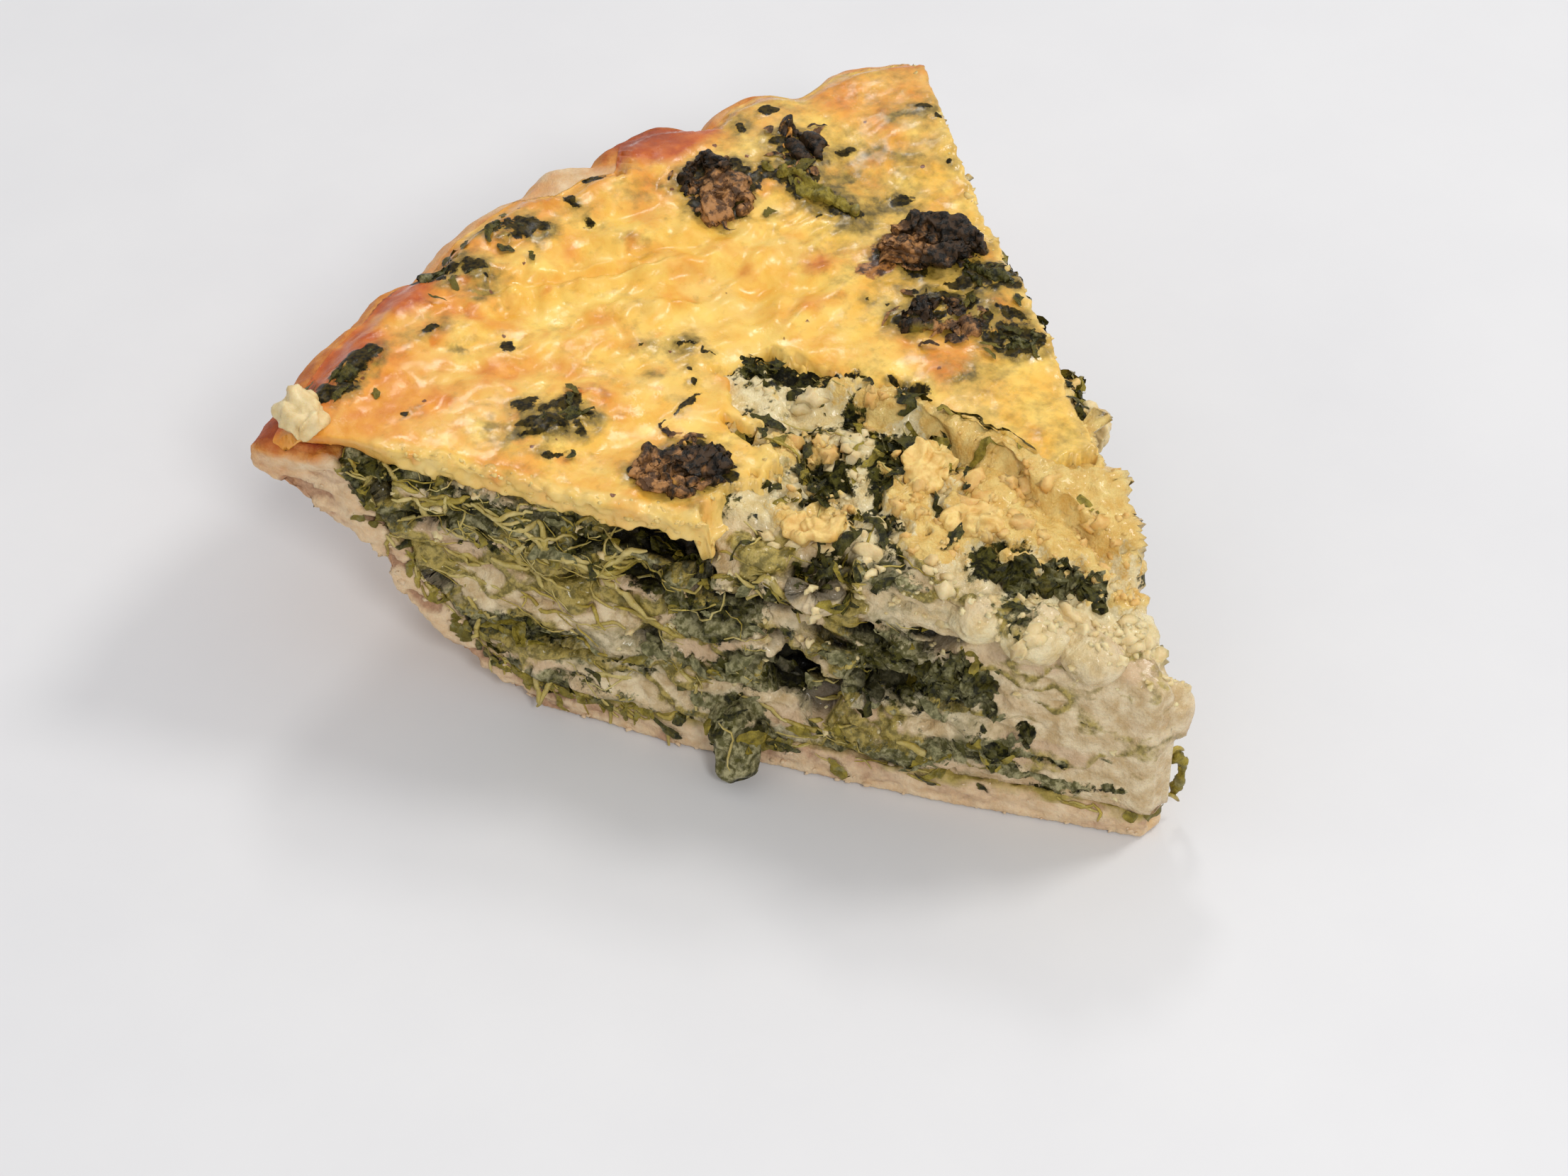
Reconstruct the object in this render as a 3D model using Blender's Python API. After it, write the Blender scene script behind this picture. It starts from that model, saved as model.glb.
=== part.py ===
"""A slice of deep-dish spinach quiche, about one sixth of a 24 cm pie.

The slice is worked out round the middle of the whole pie: radius runs from the tip to the rim,
angle from the left cut to the right cut, and height up from the underside of the crust.
The tip points to -Y. When every solid is made, the origin moves to the middle of the underside.
"""

import math

import bmesh
import bpy
import numpy as np
from mathutils import Matrix, Vector, noise
from mathutils.bvhtree import BVHTree

# Sizes are in millimetres and angles in degrees. MM turns a finished mesh into metres.
MM = 0.001
LEFT_CUT = -29.35
RIGHT_CUT = 28.6
RIM_RADIUS = 120.3
RIM_CROWN = 38.0
BASE_RADIUS = 83.5
TIP_RADIUS = 3.5
FLOOR_THICKNESS = 5.0
GAP = 0.38

# The pastry at the cut, as (radius, height): its outside from the base corner up to the crown of
# the rim, and its inside from the floor up to the same crown.
PASTRY_OUTSIDE = (
    (BASE_RADIUS, 0),
    (BASE_RADIUS + 8.6, 5),
    (BASE_RADIUS + 17.5, 14),
    (BASE_RADIUS + 22.5, 23.6),
    (RIM_RADIUS - 7.4, 27.6),
    (RIM_RADIUS, RIM_CROWN - 4.4),
    (RIM_RADIUS - 3, RIM_CROWN - 0.2),
)
PASTRY_INSIDE = (
    (BASE_RADIUS - 3, FLOOR_THICKNESS),
    (BASE_RADIUS + 5.4, 8.2),
    (BASE_RADIUS + 14, 17),
    (BASE_RADIUS + 18.2, 25.6),
    (RIM_RADIUS - 15.6, RIM_CROWN - 5.7),
    (RIM_RADIUS - 11, RIM_CROWN - 1.4),
    (RIM_RADIUS - 6, RIM_CROWN),
)
FLOOR_RADII = (14.0, 28.0, 42.0, 54.0, 66.0, 76.0)
WALL_STATIONS = 12

# The rim is crimped: each pinch is an angle and the depth of its valley. Between the cuts the rim
# stands higher or lower than RIM_CROWN, as (angle, lift).
PINCHES = ((-17.5, 1.2), (-11.6, 2.2), (-1.2, 1.6), (4.2, 3.0), (12.8, 3.0), (20.4, 2.8))
PINCH_REACH = 4.4
PINCH_DIP = 0.45
RIM_LIFTS = (
    (-30, -1.2),
    (-18, 1.2),
    (-12, 0.6),
    (-6, 0.4),
    (0, 2.4),
    (5, 2.6),
    (9, 1.2),
    (14, 1.2),
    (22, 1.6),
    (30, 0.8),
)

# Height of the baked top along a radius, and the radius where its skin is torn off at each angle.
TOP_HEIGHTS = ((0, 25), (8, 29), (16, 33), (30, 35.4), (45, 37), (60, 38), (80, 38.4), (100, 40.4), (112, 40.4))
TORN_EDGE = (
    (-30, 60.5), (-24, 58.5), (-18, 55), (-12, 60), (-5, 69), (1, 61), (4, 52), (8, 42), (13, 34), (20, 26), (30, 25),
)
SKIN_THICKNESS = 3.2
SKIN_EDGE_THICKNESS = 0.9
SKIN_SETBACK = 3.6
BARE_FLUTE = (-1.2, 4.6)
BARE_SETBACK = 3.4

# Hollows and ledges of the left cut, as (radius, height, reach along, reach up, out of the face).
LEFT_CUT_FORMS = (
    (67.0, 33.4, 8.0, 2.4, -7.0),
    (54.0, 31.0, 7.0, 1.7, 2.2),
    (54.0, 26.6, 8.0, 1.8, -1.6),
    (48.9, 17.5, 2.6, 1.9, -4.5),
    (40.0, 25.0, 4.0, 2.0, -2.2),
    (31.0, 22.0, 6.0, 3.0, 1.0),
    (15.0, 20.0, 9.0, 8.0, 1.0),
    (88.0, 24.0, 10.0, 2.5, -1.2),
    (50.0, 7.0, 26.0, 2.4, 1.5),
)
RIGHT_CUT_FORMS = (
    (88.0, 33.0, 5.0, 3.0, -3.0),
    (62.0, 20.0, 9.0, 3.0, -1.8),
    (47.0, 30.0, 4.0, 3.0, 2.0),
    (30.0, 14.0, 8.0, 4.0, 1.2),
    (76.0, 12.0, 9.0, 2.4, 1.4),
)
CRAG_DEPTH = 1.5
FACE_SHARE = 0.45

COLOURS = {
    "pastry": (0.78, 0.58, 0.36, 0.75),
    "filling": (0.33, 0.33, 0.16, 0.5),
    "skin": (0.86, 0.55, 0.17, 0.4),
    "charred": (0.05, 0.035, 0.02, 0.5),
    "leaf": (0.06, 0.09, 0.03, 0.35),
    "curd": (0.82, 0.72, 0.42, 0.4),
}


def smooth_step(low, high, value):
    share = min(1.0, max(0.0, (value - low) / (high - low)))
    return share * share * (3 - 2 * share)


def blend(start, end, share):
    return start + (end - start) * share


def read_off(pairs, value):
    """The second number of pairs, read off between them at this first number."""
    return float(np.interp(value, [pair[0] for pair in pairs], [pair[1] for pair in pairs]))


def rough(x, y, z, size):
    """Uneven value from about -1 to 1, with lumps of this size."""
    return noise.noise(Vector((x / size, y / size, z / size)))


def on_slice(radius, angle, height=0.0):
    turn = math.radians(angle)
    return Vector((radius * math.sin(turn), radius * math.cos(turn), height))


def radius_and_angle(point):
    return math.hypot(point.x, point.y), math.degrees(math.atan2(point.x, point.y))


LEFT_OUT = on_slice(1, LEFT_CUT - 90)
RIGHT_OUT = on_slice(1, RIGHT_CUT + 90)


def curve_through(points, count):
    """Evenly spread points on a smooth (Catmull-Rom) curve through these."""
    keys = [np.array(point, float) for point in points]
    keys = [2 * keys[0] - keys[1], *keys, 2 * keys[-1] - keys[-2]]
    made = []
    for place in np.linspace(0, len(points) - 1, count):
        first = min(int(place), len(points) - 2)
        share = place - first
        a, b, c, d = keys[first : first + 4]
        bend = (2 * a - 5 * b + 4 * c - d) * share**2 + (3 * b - a - 3 * c + d) * share**3
        made.append(0.5 * (2 * b + (c - a) * share + bend))
    return made


def material(name):
    """A Principled material with this finish's colour and roughness."""
    found = bpy.data.materials.get(name)
    if found:
        return found
    made = bpy.data.materials.new(name)
    made.use_nodes = True
    shader = made.node_tree.nodes["Principled BSDF"]
    red, green, blue, roughness = COLOURS[name]
    shader.inputs["Base Color"].default_value = (red, green, blue, 1)
    shader.inputs["Roughness"].default_value = roughness
    shader.inputs["Metallic"].default_value = 0
    return made


def add_object(name, mesh, finish):
    """Turns a bmesh in millimetres into a smooth-shaded object of this name."""
    bmesh.ops.recalc_face_normals(mesh, faces=mesh.faces)
    bmesh.ops.scale(mesh, vec=(MM, MM, MM), verts=mesh.verts)
    data = bpy.data.meshes.new(name)
    mesh.to_mesh(data)
    mesh.free()
    data.materials.append(material(finish))
    data.shade_smooth()
    made = bpy.data.objects.new(name, data)
    bpy.context.scene.collection.objects.link(made)
    return made


def lattice(lines, place):
    """The closed surface of a box of grid lines, each grid point moved to place(u, v, w).

    Facing sides are split into triangles alike, so a thin box keeps its thickness.
    """
    last = [len(line) - 1 for line in lines]
    mesh = bmesh.new()
    made = {}

    def vertex(index):
        if index not in made:
            made[index] = mesh.verts.new(place(*(lines[axis][index[axis]] for axis in range(3))))
        return made[index]

    for fixed in range(3):
        a, b = [axis for axis in range(3) if axis != fixed]
        for end in (0, last[fixed]):
            for i in range(last[a]):
                for j in range(last[b]):
                    corners = []
                    for step_a, step_b in ((0, 0), (1, 0), (1, 1), (0, 1)):
                        index = [end, end, end]
                        index[a] = i + step_a
                        index[b] = j + step_b
                        corners.append(vertex(tuple(index)))
                    mesh.faces.new((corners[0], corners[1], corners[2]))
                    mesh.faces.new((corners[0], corners[2], corners[3]))
    return mesh


def merge_flat_faces(mesh):
    """Joins the triangles of level faces, such as the underside, and splits them anew into few."""
    nearly_flat = math.radians(0.2)
    mesh.normal_update()
    bmesh.ops.dissolve_limit(mesh, angle_limit=nearly_flat, verts=mesh.verts, edges=mesh.edges)
    bmesh.ops.triangulate(mesh, faces=mesh.faces)


# --- The forms that the three layers share ---


def pinch(angle):
    """How deep the crimped rim is pinched in here, in millimetres."""
    deepest = 0.0
    for middle, depth in PINCHES:
        nearness = max(0.0, 1 - abs(angle - middle) / PINCH_REACH)
        deepest = max(deepest, depth * nearness**2)
    return deepest


def rim_lift(angle):
    """How far the crown of the rim is above or below its usual height."""
    return read_off(RIM_LIFTS, angle)


def pinch_dip(radius, angle):
    """How far a pinch presses down the top of the rim."""
    return PINCH_DIP * pinch(angle) * smooth_step(RIM_RADIUS - 10.5, RIM_RADIUS - 6, radius)


def crown(angle):
    return RIM_CROWN + rim_lift(angle)


def wall_inside(height, angle):
    """Radius of the pastry wall's inner face at this height."""
    level = height - rim_lift(angle) * smooth_step(12, 34, height)
    return read_off([(z, r) for r, z in PASTRY_INSIDE], level)


def torn_edge(angle):
    ragged = 1.3 * rough(angle, 3.0, 7.0, 3.1)
    return read_off(TORN_EDGE, angle) + ragged


def top_height(radius, angle):
    """The baked top as a whole, without its wrinkles."""
    across = angle / RIGHT_CUT
    middle = read_off(TOP_HEIGHTS, radius)
    middle += 0.9 * across * smooth_step(60, 110, radius)
    middle -= 3.0 * smooth_step(0.2, 1, across) * smooth_step(34, 16, radius)
    return blend(middle, crown(angle) + 1.5, smooth_step(102, RIM_RADIUS - 5, radius)) - pinch_dip(radius, angle)


def skin_under(radius, angle):
    below_top = top_height(radius, angle) - SKIN_THICKNESS
    under = blend(below_top, crown(angle) + 0.6, smooth_step(98, RIM_RADIUS - 11, radius))
    return under - pinch_dip(radius, angle)


def skin_over(radius, angle):
    """The golden top with its folds: broad swells, a long crease and small blisters."""
    spot = on_slice(radius, angle)
    inside = smooth_step(116, 104, radius)
    swell = 1.1 * rough(spot.x, spot.y, 1.0, 24)
    swell += 0.7 * rough(spot.x, spot.y, 5.0, 9)
    crease_way = spot.y - 96 + 0.32 * spot.x + 2.5 * rough(spot.x, 0, 2.0, 14)
    crease_share = smooth_step(-34, -22, spot.x) * smooth_step(14, 2, spot.x)
    crease = -1.3 * math.exp(-((crease_way / 1.9) ** 2)) + 0.8 * math.exp(-(((crease_way - 4) / 3.0) ** 2))
    lobe = 0.7 * smooth_step(94, 112, radius) * (1 - min(1.0, pinch(angle) / 2))
    return top_height(radius, angle) + inside * (swell + crease * crease_share) + lobe


def filling_top(radius, angle):
    """Under the skin the filling is smooth, and where the skin is torn off it is craggy."""
    spot = on_slice(radius, angle)
    crags = 1.6 * rough(spot.x, spot.y, 9.0, 7) + 0.9 * rough(spot.x, spot.y, 4.0, 3.4)
    bare = top_height(radius, angle) - 1.0 + crags * smooth_step(4, 24, radius)
    edge = torn_edge(angle)
    covered = skin_under(radius, angle) - GAP - 0.45 * smooth_step(98, 106, radius)
    return blend(bare, covered, smooth_step(edge - 13.0, edge - 8.5, radius))


def face_relief(radius, height, forms, side):
    """How far the filling stands out of its cut face: layered crags, ledges and hollows."""
    calm = smooth_step(4, 34, radius)
    crags = rough(radius, height * 2.4, side, 7.5) + 0.6 * rough(radius, height * 2.0, side + 4, 3.6)
    relief = CRAG_DEPTH * crags * blend(0.25, 1, calm)
    for form_radius, form_height, along, up, out in forms:
        away = ((radius - form_radius) / along) ** 2 + ((height - form_height) / up) ** 2
        relief += out * math.exp(-away)
    return relief * smooth_step(1.5, 8, radius)


def spread_from_cuts(point, share, left, right, reach):
    """Moves a point out of the nearer cut by that cut's relief, less and less further in."""
    near_left = max(0.0, 1 - share / reach)
    near_right = max(0.0, 1 - (1 - share) / reach)
    return point + LEFT_OUT * (left * near_left) + RIGHT_OUT * (right * near_right)


# --- The three layers ---


def make_pastry():
    """Floor, sloping wall and crimped rim in one piece of dough."""
    outside = [(TIP_RADIUS, 0.0)] + [(radius, 0.0) for radius in FLOOR_RADII]
    inside = [(TIP_RADIUS, FLOOR_THICKNESS)] + [(radius - 1.5, FLOOR_THICKNESS) for radius in FLOOR_RADII]
    outside += [tuple(point) for point in curve_through(PASTRY_OUTSIDE, WALL_STATIONS)]
    inside += [tuple(point) for point in curve_through(PASTRY_INSIDE, WALL_STATIONS)]
    crumble = 0.45
    squeezed_out = 1.5

    def place(station, share, through):
        angle = blend(LEFT_CUT, RIGHT_CUT, share)
        out_radius, out_height = outside[station]
        in_radius, in_height = inside[station]
        radius = blend(out_radius, in_radius, through)
        height = max(0.0, blend(out_height, in_height, through))
        on_rim = smooth_step(RIM_RADIUS - 12, RIM_RADIUS - 3, radius) * smooth_step(24, 32, height)
        lump = 0.5 * rough(angle * 2, station, through * 3, 2.3) * on_rim
        radius += lump - (pinch(angle) - 0.8) * on_rim
        height += rim_lift(angle) * smooth_step(12, 34, height) - pinch_dip(radius, angle) * on_rim
        on_floor = smooth_step(8, 32, radius) * smooth_step(82, 60, radius)
        left = crumble * rough(radius, height * 2, 1.0, 4) + squeezed_out * on_floor
        right = crumble * rough(radius, height * 2, 8.0, 4)
        point = on_slice(radius, angle, height)
        return spread_from_cuts(point, share, left, right, 0.12)

    lines = (range(len(outside)), np.linspace(0, 1, 41), (0.0, 0.5, 1.0))
    mesh = lattice(lines, place)
    merge_flat_faces(mesh)
    return add_object("pastry_crust", mesh, "pastry")


def make_filling():
    """Spinach custard between the pastry and the skin, bare at both cuts and towards the tip."""
    floor = FLOOR_THICKNESS + GAP
    furthest_back = RIM_RADIUS - 12.4
    wall_clearance = 1.0

    def place(along, share, up):
        angle = blend(LEFT_CUT, RIGHT_CUT, share)
        radius = blend(TIP_RADIUS, furthest_back, along)
        for _ in range(3):
            height = blend(floor, filling_top(radius, angle), up)
            back = min(furthest_back, wall_inside(height, angle) - wall_clearance)
            radius = blend(TIP_RADIUS, back, along)
        left = face_relief(radius, height, LEFT_CUT_FORMS, 1.0)
        right = face_relief(radius, height, RIGHT_CUT_FORMS, 11.0)
        point = spread_from_cuts(on_slice(radius, angle), share, left, right, FACE_SHARE)
        top = filling_top(*radius_and_angle(point))
        point.z = blend(floor, top, up)
        return point

    across = (0, 0.03, 0.08, 0.15, 0.23, 0.32, 0.41, 0.5, 0.59, 0.68, 0.77, 0.86, 0.94, 1)
    lines = (np.linspace(0, 1, 43), across, np.linspace(0, 1, 14))
    mesh = lattice(lines, place)
    merge_flat_faces(mesh)
    return add_object("spinach_filling", mesh, "filling")


def make_skin():
    """The baked golden top, torn off towards the tip and curling over the left cut as a flap."""

    def place(along, share, through):
        angle = blend(LEFT_CUT, RIGHT_CUT, share)
        bare = smooth_step(BARE_FLUTE[0] - 1, BARE_FLUTE[0] + 1, angle)
        bare *= smooth_step(BARE_FLUTE[1] + 1, BARE_FLUTE[1] - 1, angle)
        outer = RIM_RADIUS - SKIN_SETBACK - pinch(angle) + 0.8 - BARE_SETBACK * bare
        radius = blend(torn_edge(angle), outer, along)
        flap = 0.5 * math.exp(-(((radius - 70) / 11) ** 2))
        ragged = 0.9 * rough(radius, 2.0, 3.0, 5) + 0.5 * rough(radius, 6.0, 3.0, 2.6)
        left = flap + ragged - 0.7 * (1 - through)
        right = 0.9 * rough(radius, 12.0, 3.0, 5) - 0.6 * (1 - through)
        point = spread_from_cuts(on_slice(radius, angle), share, left, right, 0.2)
        spot_radius, spot_angle = radius_and_angle(point)
        under = skin_under(spot_radius, spot_angle)
        over = max(skin_over(spot_radius, spot_angle), under + SKIN_EDGE_THICKNESS)
        point.z = blend(under, over, through)
        return point

    lines = (np.linspace(0, 1, 28), np.linspace(0, 1, 27), (0.0, 1.0))
    return add_object("golden_top", lattice(lines, place), "skin")


# --- Leaves, flakes and curds ---


def surface_tree(host):
    return BVHTree.FromObject(host, bpy.context.evaluated_depsgraph_get())


def drop_onto(tree, point, outward):
    """The place on the host straight below a point, in millimetres, or the nearest one to it."""
    high_above = 40.0
    start = (point + outward * high_above) * MM
    hit = tree.ray_cast(start, -outward)[0]
    if hit is None:
        near = tree.find_nearest(point * MM)[0] / MM
        return point + outward * (near - point).dot(outward)
    return hit / MM


def add_leaf(name, tree, centre, outward, turn, size, finish, fold=0.8, thickness=0.7, seed=0.0):
    """A thin wavy solid lying on its host; size is its length and width, fold the height of its waves."""
    length, width = size
    sideways = Vector((0, 0, 1)) if abs(outward.z) < 0.5 else Vector((0, 1, 0))
    first = outward.cross(sideways).normalized()
    along_way = Matrix.Rotation(math.radians(turn), 3, outward) @ first
    across_way = outward.cross(along_way)
    clearance = GAP + 0.12

    def place(along, across, through):
        taper = math.sqrt(max(0.06, 1 - along**2))
        edge = math.copysign(3.0, across)
        ragged = 1 + 0.3 * rough(along * 2.4, edge, seed, 1)
        bend = 0.16 * width * rough(along * 1.6, seed, 2.0, 1)
        spot = centre + along_way * (along * length / 2)
        spot += across_way * (across * taper * width / 2 * ragged + bend)
        ground = drop_onto(tree, spot, outward)
        wave = 0.5 + 0.5 * math.sin(across * 4.2 + along * 1.7 + seed)
        wave += 0.45 * rough(along * 2.2, across * 2.2, seed + 5, 1)
        lift = clearance + fold * max(0.0, wave)
        return ground + outward * (lift + thickness * through)

    cells = (max(4, round(length / 1.7)), max(3, round(width / 1.7)))
    lines = (np.linspace(-1, 1, cells[0] + 1), np.linspace(-1, 1, cells[1] + 1), (0.0, 1.0))
    return add_object(name, lattice(lines, place), finish)


def lump_mesh(centre, size, seed):
    """An uneven round lump; size is its three radii."""
    mesh = bmesh.new()
    bmesh.ops.create_icosphere(mesh, subdivisions=2, radius=1)
    for vertex in mesh.verts:
        uneven = 1 + 0.28 * rough(vertex.co.x * 1.6, vertex.co.y * 1.6, vertex.co.z * 1.6 + seed, 1)
        vertex.co = centre + Vector(size) * vertex.co * uneven
    return mesh


def add_curd(name, tree, centre, size, seed, outward):
    """A lump of curd resting just clear of its host."""
    mesh = lump_mesh(centre, size, seed)
    for vertex in mesh.verts:
        ground = drop_onto(tree, vertex.co, outward)
        below = (ground - vertex.co).dot(outward) + GAP + 0.1
        if below > 0:
            vertex.co += outward * below
    return add_object(name, mesh, "curd")


def add_strand(name, points, width, finish):
    """A thin twisted strip of stem through these points."""
    way = curve_through(points, 9)

    def place(along, across, through):
        middle = Vector(way[along])
        ahead = Vector(way[min(along + 1, len(way) - 1)]) - Vector(way[max(along - 1, 0)])
        side = ahead.cross(LEFT_OUT).normalized()
        narrow = blend(1.0, 0.45, along / (len(way) - 1))
        return middle + side * (across * width / 2 * narrow) + LEFT_OUT * (0.7 * through)

    return add_object(name, lattice((range(len(way)), (-1.0, 0.0, 1.0), (0.0, 1.0)), place), finish)


def fuse_onto(host, lumps):
    """Joins small lumps to their host with one Boolean union."""
    group = bpy.data.collections.new("fused_lumps")
    bpy.context.scene.collection.children.link(group)
    for index, (centre, size) in enumerate(lumps):
        lump = add_object(f"lump_{index}", lump_mesh(centre, size, index * 3.7), "filling")
        bpy.context.scene.collection.objects.unlink(lump)
        group.objects.link(lump)
    union = host.modifiers.new("fuse lumps", "BOOLEAN")
    union.operation = "UNION"
    union.operand_type = "COLLECTION"
    union.collection = group
    union.solver = "EXACT"
    bpy.context.view_layer.objects.active = host
    bpy.context.view_layer.update()
    fused = bpy.data.meshes.new_from_object(host.evaluated_get(bpy.context.evaluated_depsgraph_get()))
    host.modifiers.remove(union)
    plain = host.data
    host.data = fused
    bpy.data.meshes.remove(plain)
    for lump in list(group.objects):
        bpy.data.objects.remove(lump, do_unlink=True)
    bpy.data.collections.remove(group)


def on_left_cut(radius, height, out=0.0):
    return on_slice(radius, LEFT_CUT, height) + LEFT_OUT * out


def on_right_cut(radius, height, out=0.0):
    return on_slice(radius, RIGHT_CUT, height) + RIGHT_OUT * out


# Curds that stick to the filling, as (centre, three radii).
FUSED_LUMPS = (
    (on_left_cut(56.0, 7.8, 3.0), (3.2, 3.2, 2.8)),
    (on_left_cut(55.2, 4.6, 5.0), (2.7, 2.4, 3.0)),
    (on_left_cut(46.0, 32.5, 1.0), (3.8, 3.2, 2.6)),
    (on_left_cut(19.0, 32.0, 0.6), (4.4, 4.0, 3.0)),
    (on_left_cut(26.0, 32.4, 0.2), (3.2, 3.4, 2.6)),
    (on_left_cut(12.0, 29.6, 0.0), (3.6, 3.8, 2.8)),
    (on_left_cut(40.0, 17.0, 0.8), (2.6, 2.2, 2.2)),
    (on_slice(6.5, 6, 8.2), (3.0, 2.6, 2.4)),
    (on_slice(5.2, 0, 17.0), (2.6, 2.4, 3.4)),
    (on_right_cut(52.0, 29.4, 0.0), (3.2, 3.0, 2.6)),
    (on_right_cut(24.0, 23.0, 0.0), (3.2, 2.8, 2.6)),
    (on_right_cut(5.0, 20.0, 0.8), (2.2, 2.2, 3.8)),
)

# Leaves baked on the skin: name, radius, angle, turn, (length, width), fold, finish.
TOP_LEAVES = (
    ("charred_clump_back", 99.6, 8.6, 60, (11.5, 9.5), 2.2, "charred"),
    ("charred_leaf_upright", 100.8, 16.2, 75, (9.0, 4.6), 1.2, "charred"),
    ("olive_stem", 93.0, 14.9, -78, (14.5, 2.4), 0.7, "leaf"),
    ("charred_clump_right", 76.0, 21.2, -40, (13.0, 9.0), 2.6, "charred"),
    ("dark_clump_edge", 69.0, 25.2, 100, (8.0, 4.8), 1.6, "leaf"),
    ("charred_leaf_right", 63.4, 17.5, -45, (11.0, 7.0), 1.2, "charred"),
    ("dark_leaf_edge", 56.4, 24.2, -45, (6.6, 4.4), 0.8, "leaf"),
    ("charred_curl", 66.8, -22.2, -40, (11.5, 9.5), 2.4, "charred"),
    ("dark_leaf_left", 84.0, -21.0, -30, (7.0, 4.2), 0.7, "leaf"),
    ("leaf_streak_rim", 112.2, -23.6, 10, (10.0, 2.8), 0.6, "leaf"),
    ("leaf_rim_left", 112.3, -11.4, -40, (8.0, 3.4), 0.6, "leaf"),
    ("leaf_rim_middle", 111.3, -5.5, -45, (8.0, 3.0), 0.6, "leaf"),
)

# Broken bits of skin and wet leaves on the bare filling: name, radius, angle, turn, size, fold, finish.
FILLING_LEAVES = (
    ("skin_flake_front", 48.6, -22.6, -40, (7.5, 6.0), 1.0, "skin"),
    ("skin_flake_middle", 42.5, -2.0, 30, (8.5, 5.6), 0.8, "skin"),
    ("skin_flake_small", 32.4, -6.0, -40, (8.5, 4.8), 0.6, "skin"),
    ("wet_leaf_fold", 20.5, -7.0, -44, (13.5, 4.2), 0.9, "leaf"),
)

# The loop of loose stem beside the tip, as (height, distance out from the right cut).
STRAND_WAY = ((11.0, 2.4), (9.2, 3.6), (5.8, 3.8), (2.2, 2.8))


def make_toppings(skin, filling):
    up = Vector((0, 0, 1))
    hosts = ((surface_tree(skin), TOP_LEAVES), (surface_tree(filling), FILLING_LEAVES))
    for tree, leaves in hosts:
        for name, radius, angle, turn, size, fold, finish in leaves:
            centre = on_slice(radius, angle, 35)
            seed = radius * 0.37 + angle
            add_leaf(name, tree, centre, up, turn, size, finish, fold, seed=seed)
    skin_tree = hosts[0][0]
    filling_tree = hosts[1][0]
    add_leaf(
        "dark_leaf_cut", filling_tree, on_left_cut(28, 22.0, 4), LEFT_OUT, 8, (10.0, 6.4), "leaf", 0.9, seed=3.0
    )
    add_curd("curd_lump_left", skin_tree, on_slice(114.2, -28.2, 40.5), (2.4, 3.2, 2.0), 2.0, up)
    add_curd("curd_lump_right", filling_tree, on_right_cut(45, 31, 2.6), (2.4, 2.4, 3.4), 6.0, RIGHT_OUT)
    strand = [on_right_cut(6, height, out) for height, out in STRAND_WAY]
    add_strand("stem_strand_tip", strand, 1.5, "leaf")


def centre_on_underside():
    """Moves every mesh so that the origin is the middle of the underside."""
    corners = []
    for made in bpy.data.objects:
        corners += [vertex.co.copy() for vertex in made.data.vertices]
    low = [min(corner[axis] for corner in corners) for axis in range(3)]
    high = [max(corner[axis] for corner in corners) for axis in range(3)]
    shift = Matrix.Translation((-(low[0] + high[0]) / 2, -(low[1] + high[1]) / 2, -low[2]))
    for made in bpy.data.objects:
        made.data.transform(shift)


def main():
    for old in list(bpy.data.objects):
        bpy.data.objects.remove(old, do_unlink=True)
    make_pastry()
    filling = make_filling()
    fuse_onto(filling, FUSED_LUMPS)
    skin = make_skin()
    make_toppings(skin, filling)
    centre_on_underside()


main()
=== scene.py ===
# %% [markdown]
# # A slice of spinach quiche
# The solids say where everything is. This script gives each layer its real surface: the
# crumbling pastry, the custard full of pressed spinach, and the golden skin that tore open.
# Each surface is made the same way. A solid is copied with small even cells, the cells are
# moved by layered noise, and the same noise says which colour goes where.

import math

import bmesh
import bpy
import numpy as np
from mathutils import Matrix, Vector
from mathutils.bvhtree import BVHTree
from mathutils.kdtree import KDTree


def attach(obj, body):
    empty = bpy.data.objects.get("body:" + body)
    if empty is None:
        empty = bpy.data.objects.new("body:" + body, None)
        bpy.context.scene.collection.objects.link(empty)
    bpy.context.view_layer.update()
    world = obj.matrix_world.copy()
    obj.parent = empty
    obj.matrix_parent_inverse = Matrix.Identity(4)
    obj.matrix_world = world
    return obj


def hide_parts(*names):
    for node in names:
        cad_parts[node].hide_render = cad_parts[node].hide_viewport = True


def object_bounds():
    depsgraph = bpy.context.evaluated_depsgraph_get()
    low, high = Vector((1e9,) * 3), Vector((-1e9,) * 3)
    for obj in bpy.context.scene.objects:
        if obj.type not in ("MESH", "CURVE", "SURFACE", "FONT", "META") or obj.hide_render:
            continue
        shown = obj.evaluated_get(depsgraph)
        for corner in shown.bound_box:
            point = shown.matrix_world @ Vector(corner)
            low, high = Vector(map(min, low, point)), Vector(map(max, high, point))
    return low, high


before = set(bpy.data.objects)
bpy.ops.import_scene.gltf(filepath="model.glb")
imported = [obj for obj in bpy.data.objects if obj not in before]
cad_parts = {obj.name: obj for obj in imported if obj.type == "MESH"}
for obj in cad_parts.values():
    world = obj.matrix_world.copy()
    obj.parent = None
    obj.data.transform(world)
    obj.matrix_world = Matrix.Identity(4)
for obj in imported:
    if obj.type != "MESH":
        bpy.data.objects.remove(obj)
first_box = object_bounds()
print("solids:", len(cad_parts))

# %% [markdown]
# The slice is one sixth of a round pie, so places on it are easiest to say as a radius and an
# angle from the middle of the whole pie, in millimetres and degrees. The tip is at that middle.

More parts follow.
